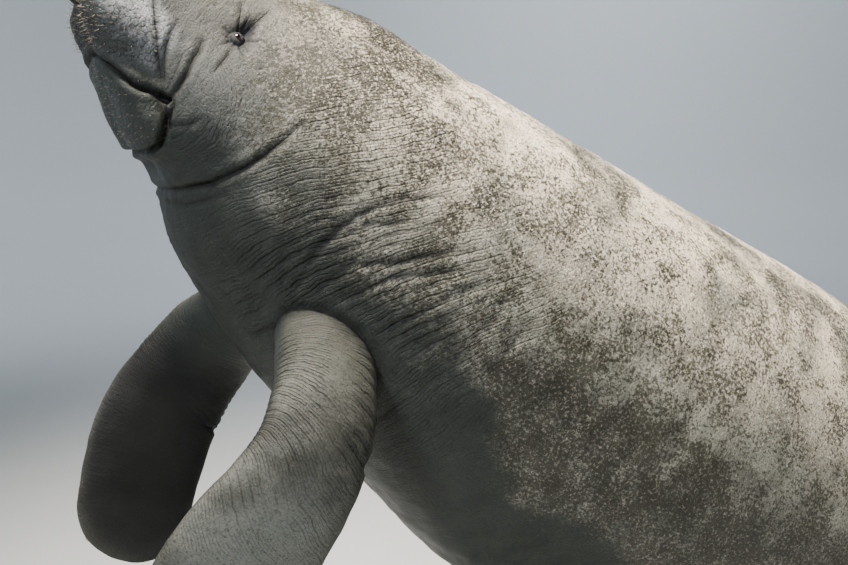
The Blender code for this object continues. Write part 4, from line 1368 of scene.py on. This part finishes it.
def screw_radius(radius, turn):
    """The socket's walls are a hexagon's."""
    to_corner = turn % (math.pi / 3) - math.pi / 6
    return radius * (math.cos(math.pi / 6) / math.cos(to_corner)) if radius == SOCKET_RADIUS else radius


screw_mesh = bpy.data.meshes.new("flange_screw")
with edited(screw_mesh) as shape:
    loops = turned_rings(shape, SCREW_RINGS, SCREW_SEGMENTS, screw_radius)
    shape.faces.new(loops[0][::-1])
    shape.faces.new(loops[-1])
    bmesh.ops.recalc_face_normals(shape, faces=shape.faces)
screw_mesh.shade_smooth()
screw_mesh.set_sharp_from_angle(angle=math.radians(35))

tree, add, given = new_tree("flange screws", Count="Int", Circle="Float", Front="Vector", Rear="Vector")
ring = add("GeometryNodeMeshCircle", given["Count"], given["Circle"])
ring = add("GeometryNodeTransform", ring, Rotation=(0.0, 0.0, math.pi / 4))
way = add("ShaderNodeVectorMath", given["Rear"], given["Front"], operation="SUBTRACT")
feet = add("GeometryNodeMeshLine", 2, given["Front"], way, mode="OFFSET")
spots = add("real", add("instances", Points=feet, Instance=ring))
end_tree(add, given, Points=spots, Instance=given["Geometry"])

feet_at = {}
for name in ("Front", "Rear"):
    low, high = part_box(f"stand_rod_{name.lower()}")
    feet_at[name] = ((low.x + high.x) / 2, 0.0, low.z + FLANGE)
screw = placed("flange_screw", screw_mesh)
mesh = grown_mesh(screw, tree, Count=4, Circle=SCREW_CIRCLE, Material=steel, **feet_at)
piece_from("flange_screws", mesh, steel, "stand_metal")

# Studio.
# A pale floor that sweeps up behind, soft light from high overhead with a weak fill, and the camera at
# the photograph's place. None of it is part of the object.
# Radius and height of each ring of the floor
SWEEP = ((3.0, 0.0), (6.0, 0.0), (7.5, 0.0), (8.4, 0.35), (8.9, 1.1), (9.0, 2.2), (9.0, 9.0))
floor_mesh = bpy.data.meshes.new("studio_floor")
with edited(floor_mesh) as shape:
    inmost = turned_rings(shape, SWEEP, 72)[0]
    middle = shape.verts.new((0, 0, 0))
    for a, b in zip(inmost, (*inmost[1:], inmost[0])):
        shape.faces.new((middle, a, b))
floor_mesh.shade_smooth()
pale, add, shader = new_material("pale floor")
fill(shader, Base_Color=colour("#c3c7c7"), Roughness=0.9)
floor_mesh.materials.append(pale)
placed("studio_floor", floor_mesh)

world = bpy.data.worlds.new("studio air")
world.use_nodes = True
fill(world.node_tree.nodes["Background"], Color=colour("#c9d3d8"), Strength=0.05)
bpy.context.scene.world = world

# Place, aim, size, watts, tint and spread. Six of them wash the backdrop, so that it is pale all round.
AIRY = "#eef4ff"
LIGHTS = {
    "overhead": ((-1.5, -0.5, 5.4), (-0.5, 0.0, 0.9), 1.2, 124, "#fff4e6", 60),
    "front_left": ((-4.2, -2.6, 3.4), (-1.05, -0.25, 0.8), 1.0, 24, "#f4f6ff", 50),
    "near_fill": ((-2.6, -4.4, 1.8), (-0.7, 0.0, 0.9), 2.5, 3, "#e6f0ff", 180),
    "beyond": ((1.4, 4.2, 5.2), (1.6, 4.9, 0.0), 2.5, 70, AIRY, 105),
    "on_backdrop": ((3.0, 3.6, 5.0), (5.4, 8.6, 1.4), 3.0, 150, AIRY, 120),
    "on_backdrop_left": ((-3.5, 4.2, 5.0), (-4.0, 8.8, 1.4), 3.0, 150, AIRY, 120),
    "on_backdrop_near": ((3.0, -3.8, 5.0), (5.4, -8.6, 1.4), 3.0, 90, AIRY, 120),
    "on_backdrop_near_left": ((-3.5, -4.2, 5.0), (-5.0, -8.6, 1.4), 3.0, 90, AIRY, 120),
    "on_backdrop_ahead": ((-5.0, 0.0, 5.0), (-9.0, 0.0, 1.4), 3.0, 90, AIRY, 120),
    "on_backdrop_behind": ((5.0, 0.0, 5.0), (9.0, 0.0, 1.4), 3.0, 90, AIRY, 120),
}


def aimed(made, place, way):
    made.location = place
    made.rotation_euler = Vector(way).to_track_quat("-Z", "Y").to_euler()


for name, (place, aim, size, watts, tint, spread) in LIGHTS.items():
    light = bpy.data.lights.new(name, "AREA")
    light.size, light.energy, light.color = size, watts, colour(tint)[:3]
    light.spread = math.radians(spread)
    aimed(placed(name, light), place, Vector(aim) - Vector(place))

AZIMUTH, DOWN, LENS = math.radians(27), math.radians(8), 38.601
camera = placed("camera", bpy.data.cameras.new("camera"))
camera.data.lens, camera.data.sensor_width, camera.data.clip_start = LENS, 36.0, 0.01
level = math.cos(DOWN)
ahead = (math.sin(AZIMUTH) * level, math.cos(AZIMUTH) * level, -math.sin(DOWN))
aimed(camera, Vector(SNOUT) + Vector((-0.1433, -1.2437, -0.2656)), ahead)
bpy.context.scene.camera = camera
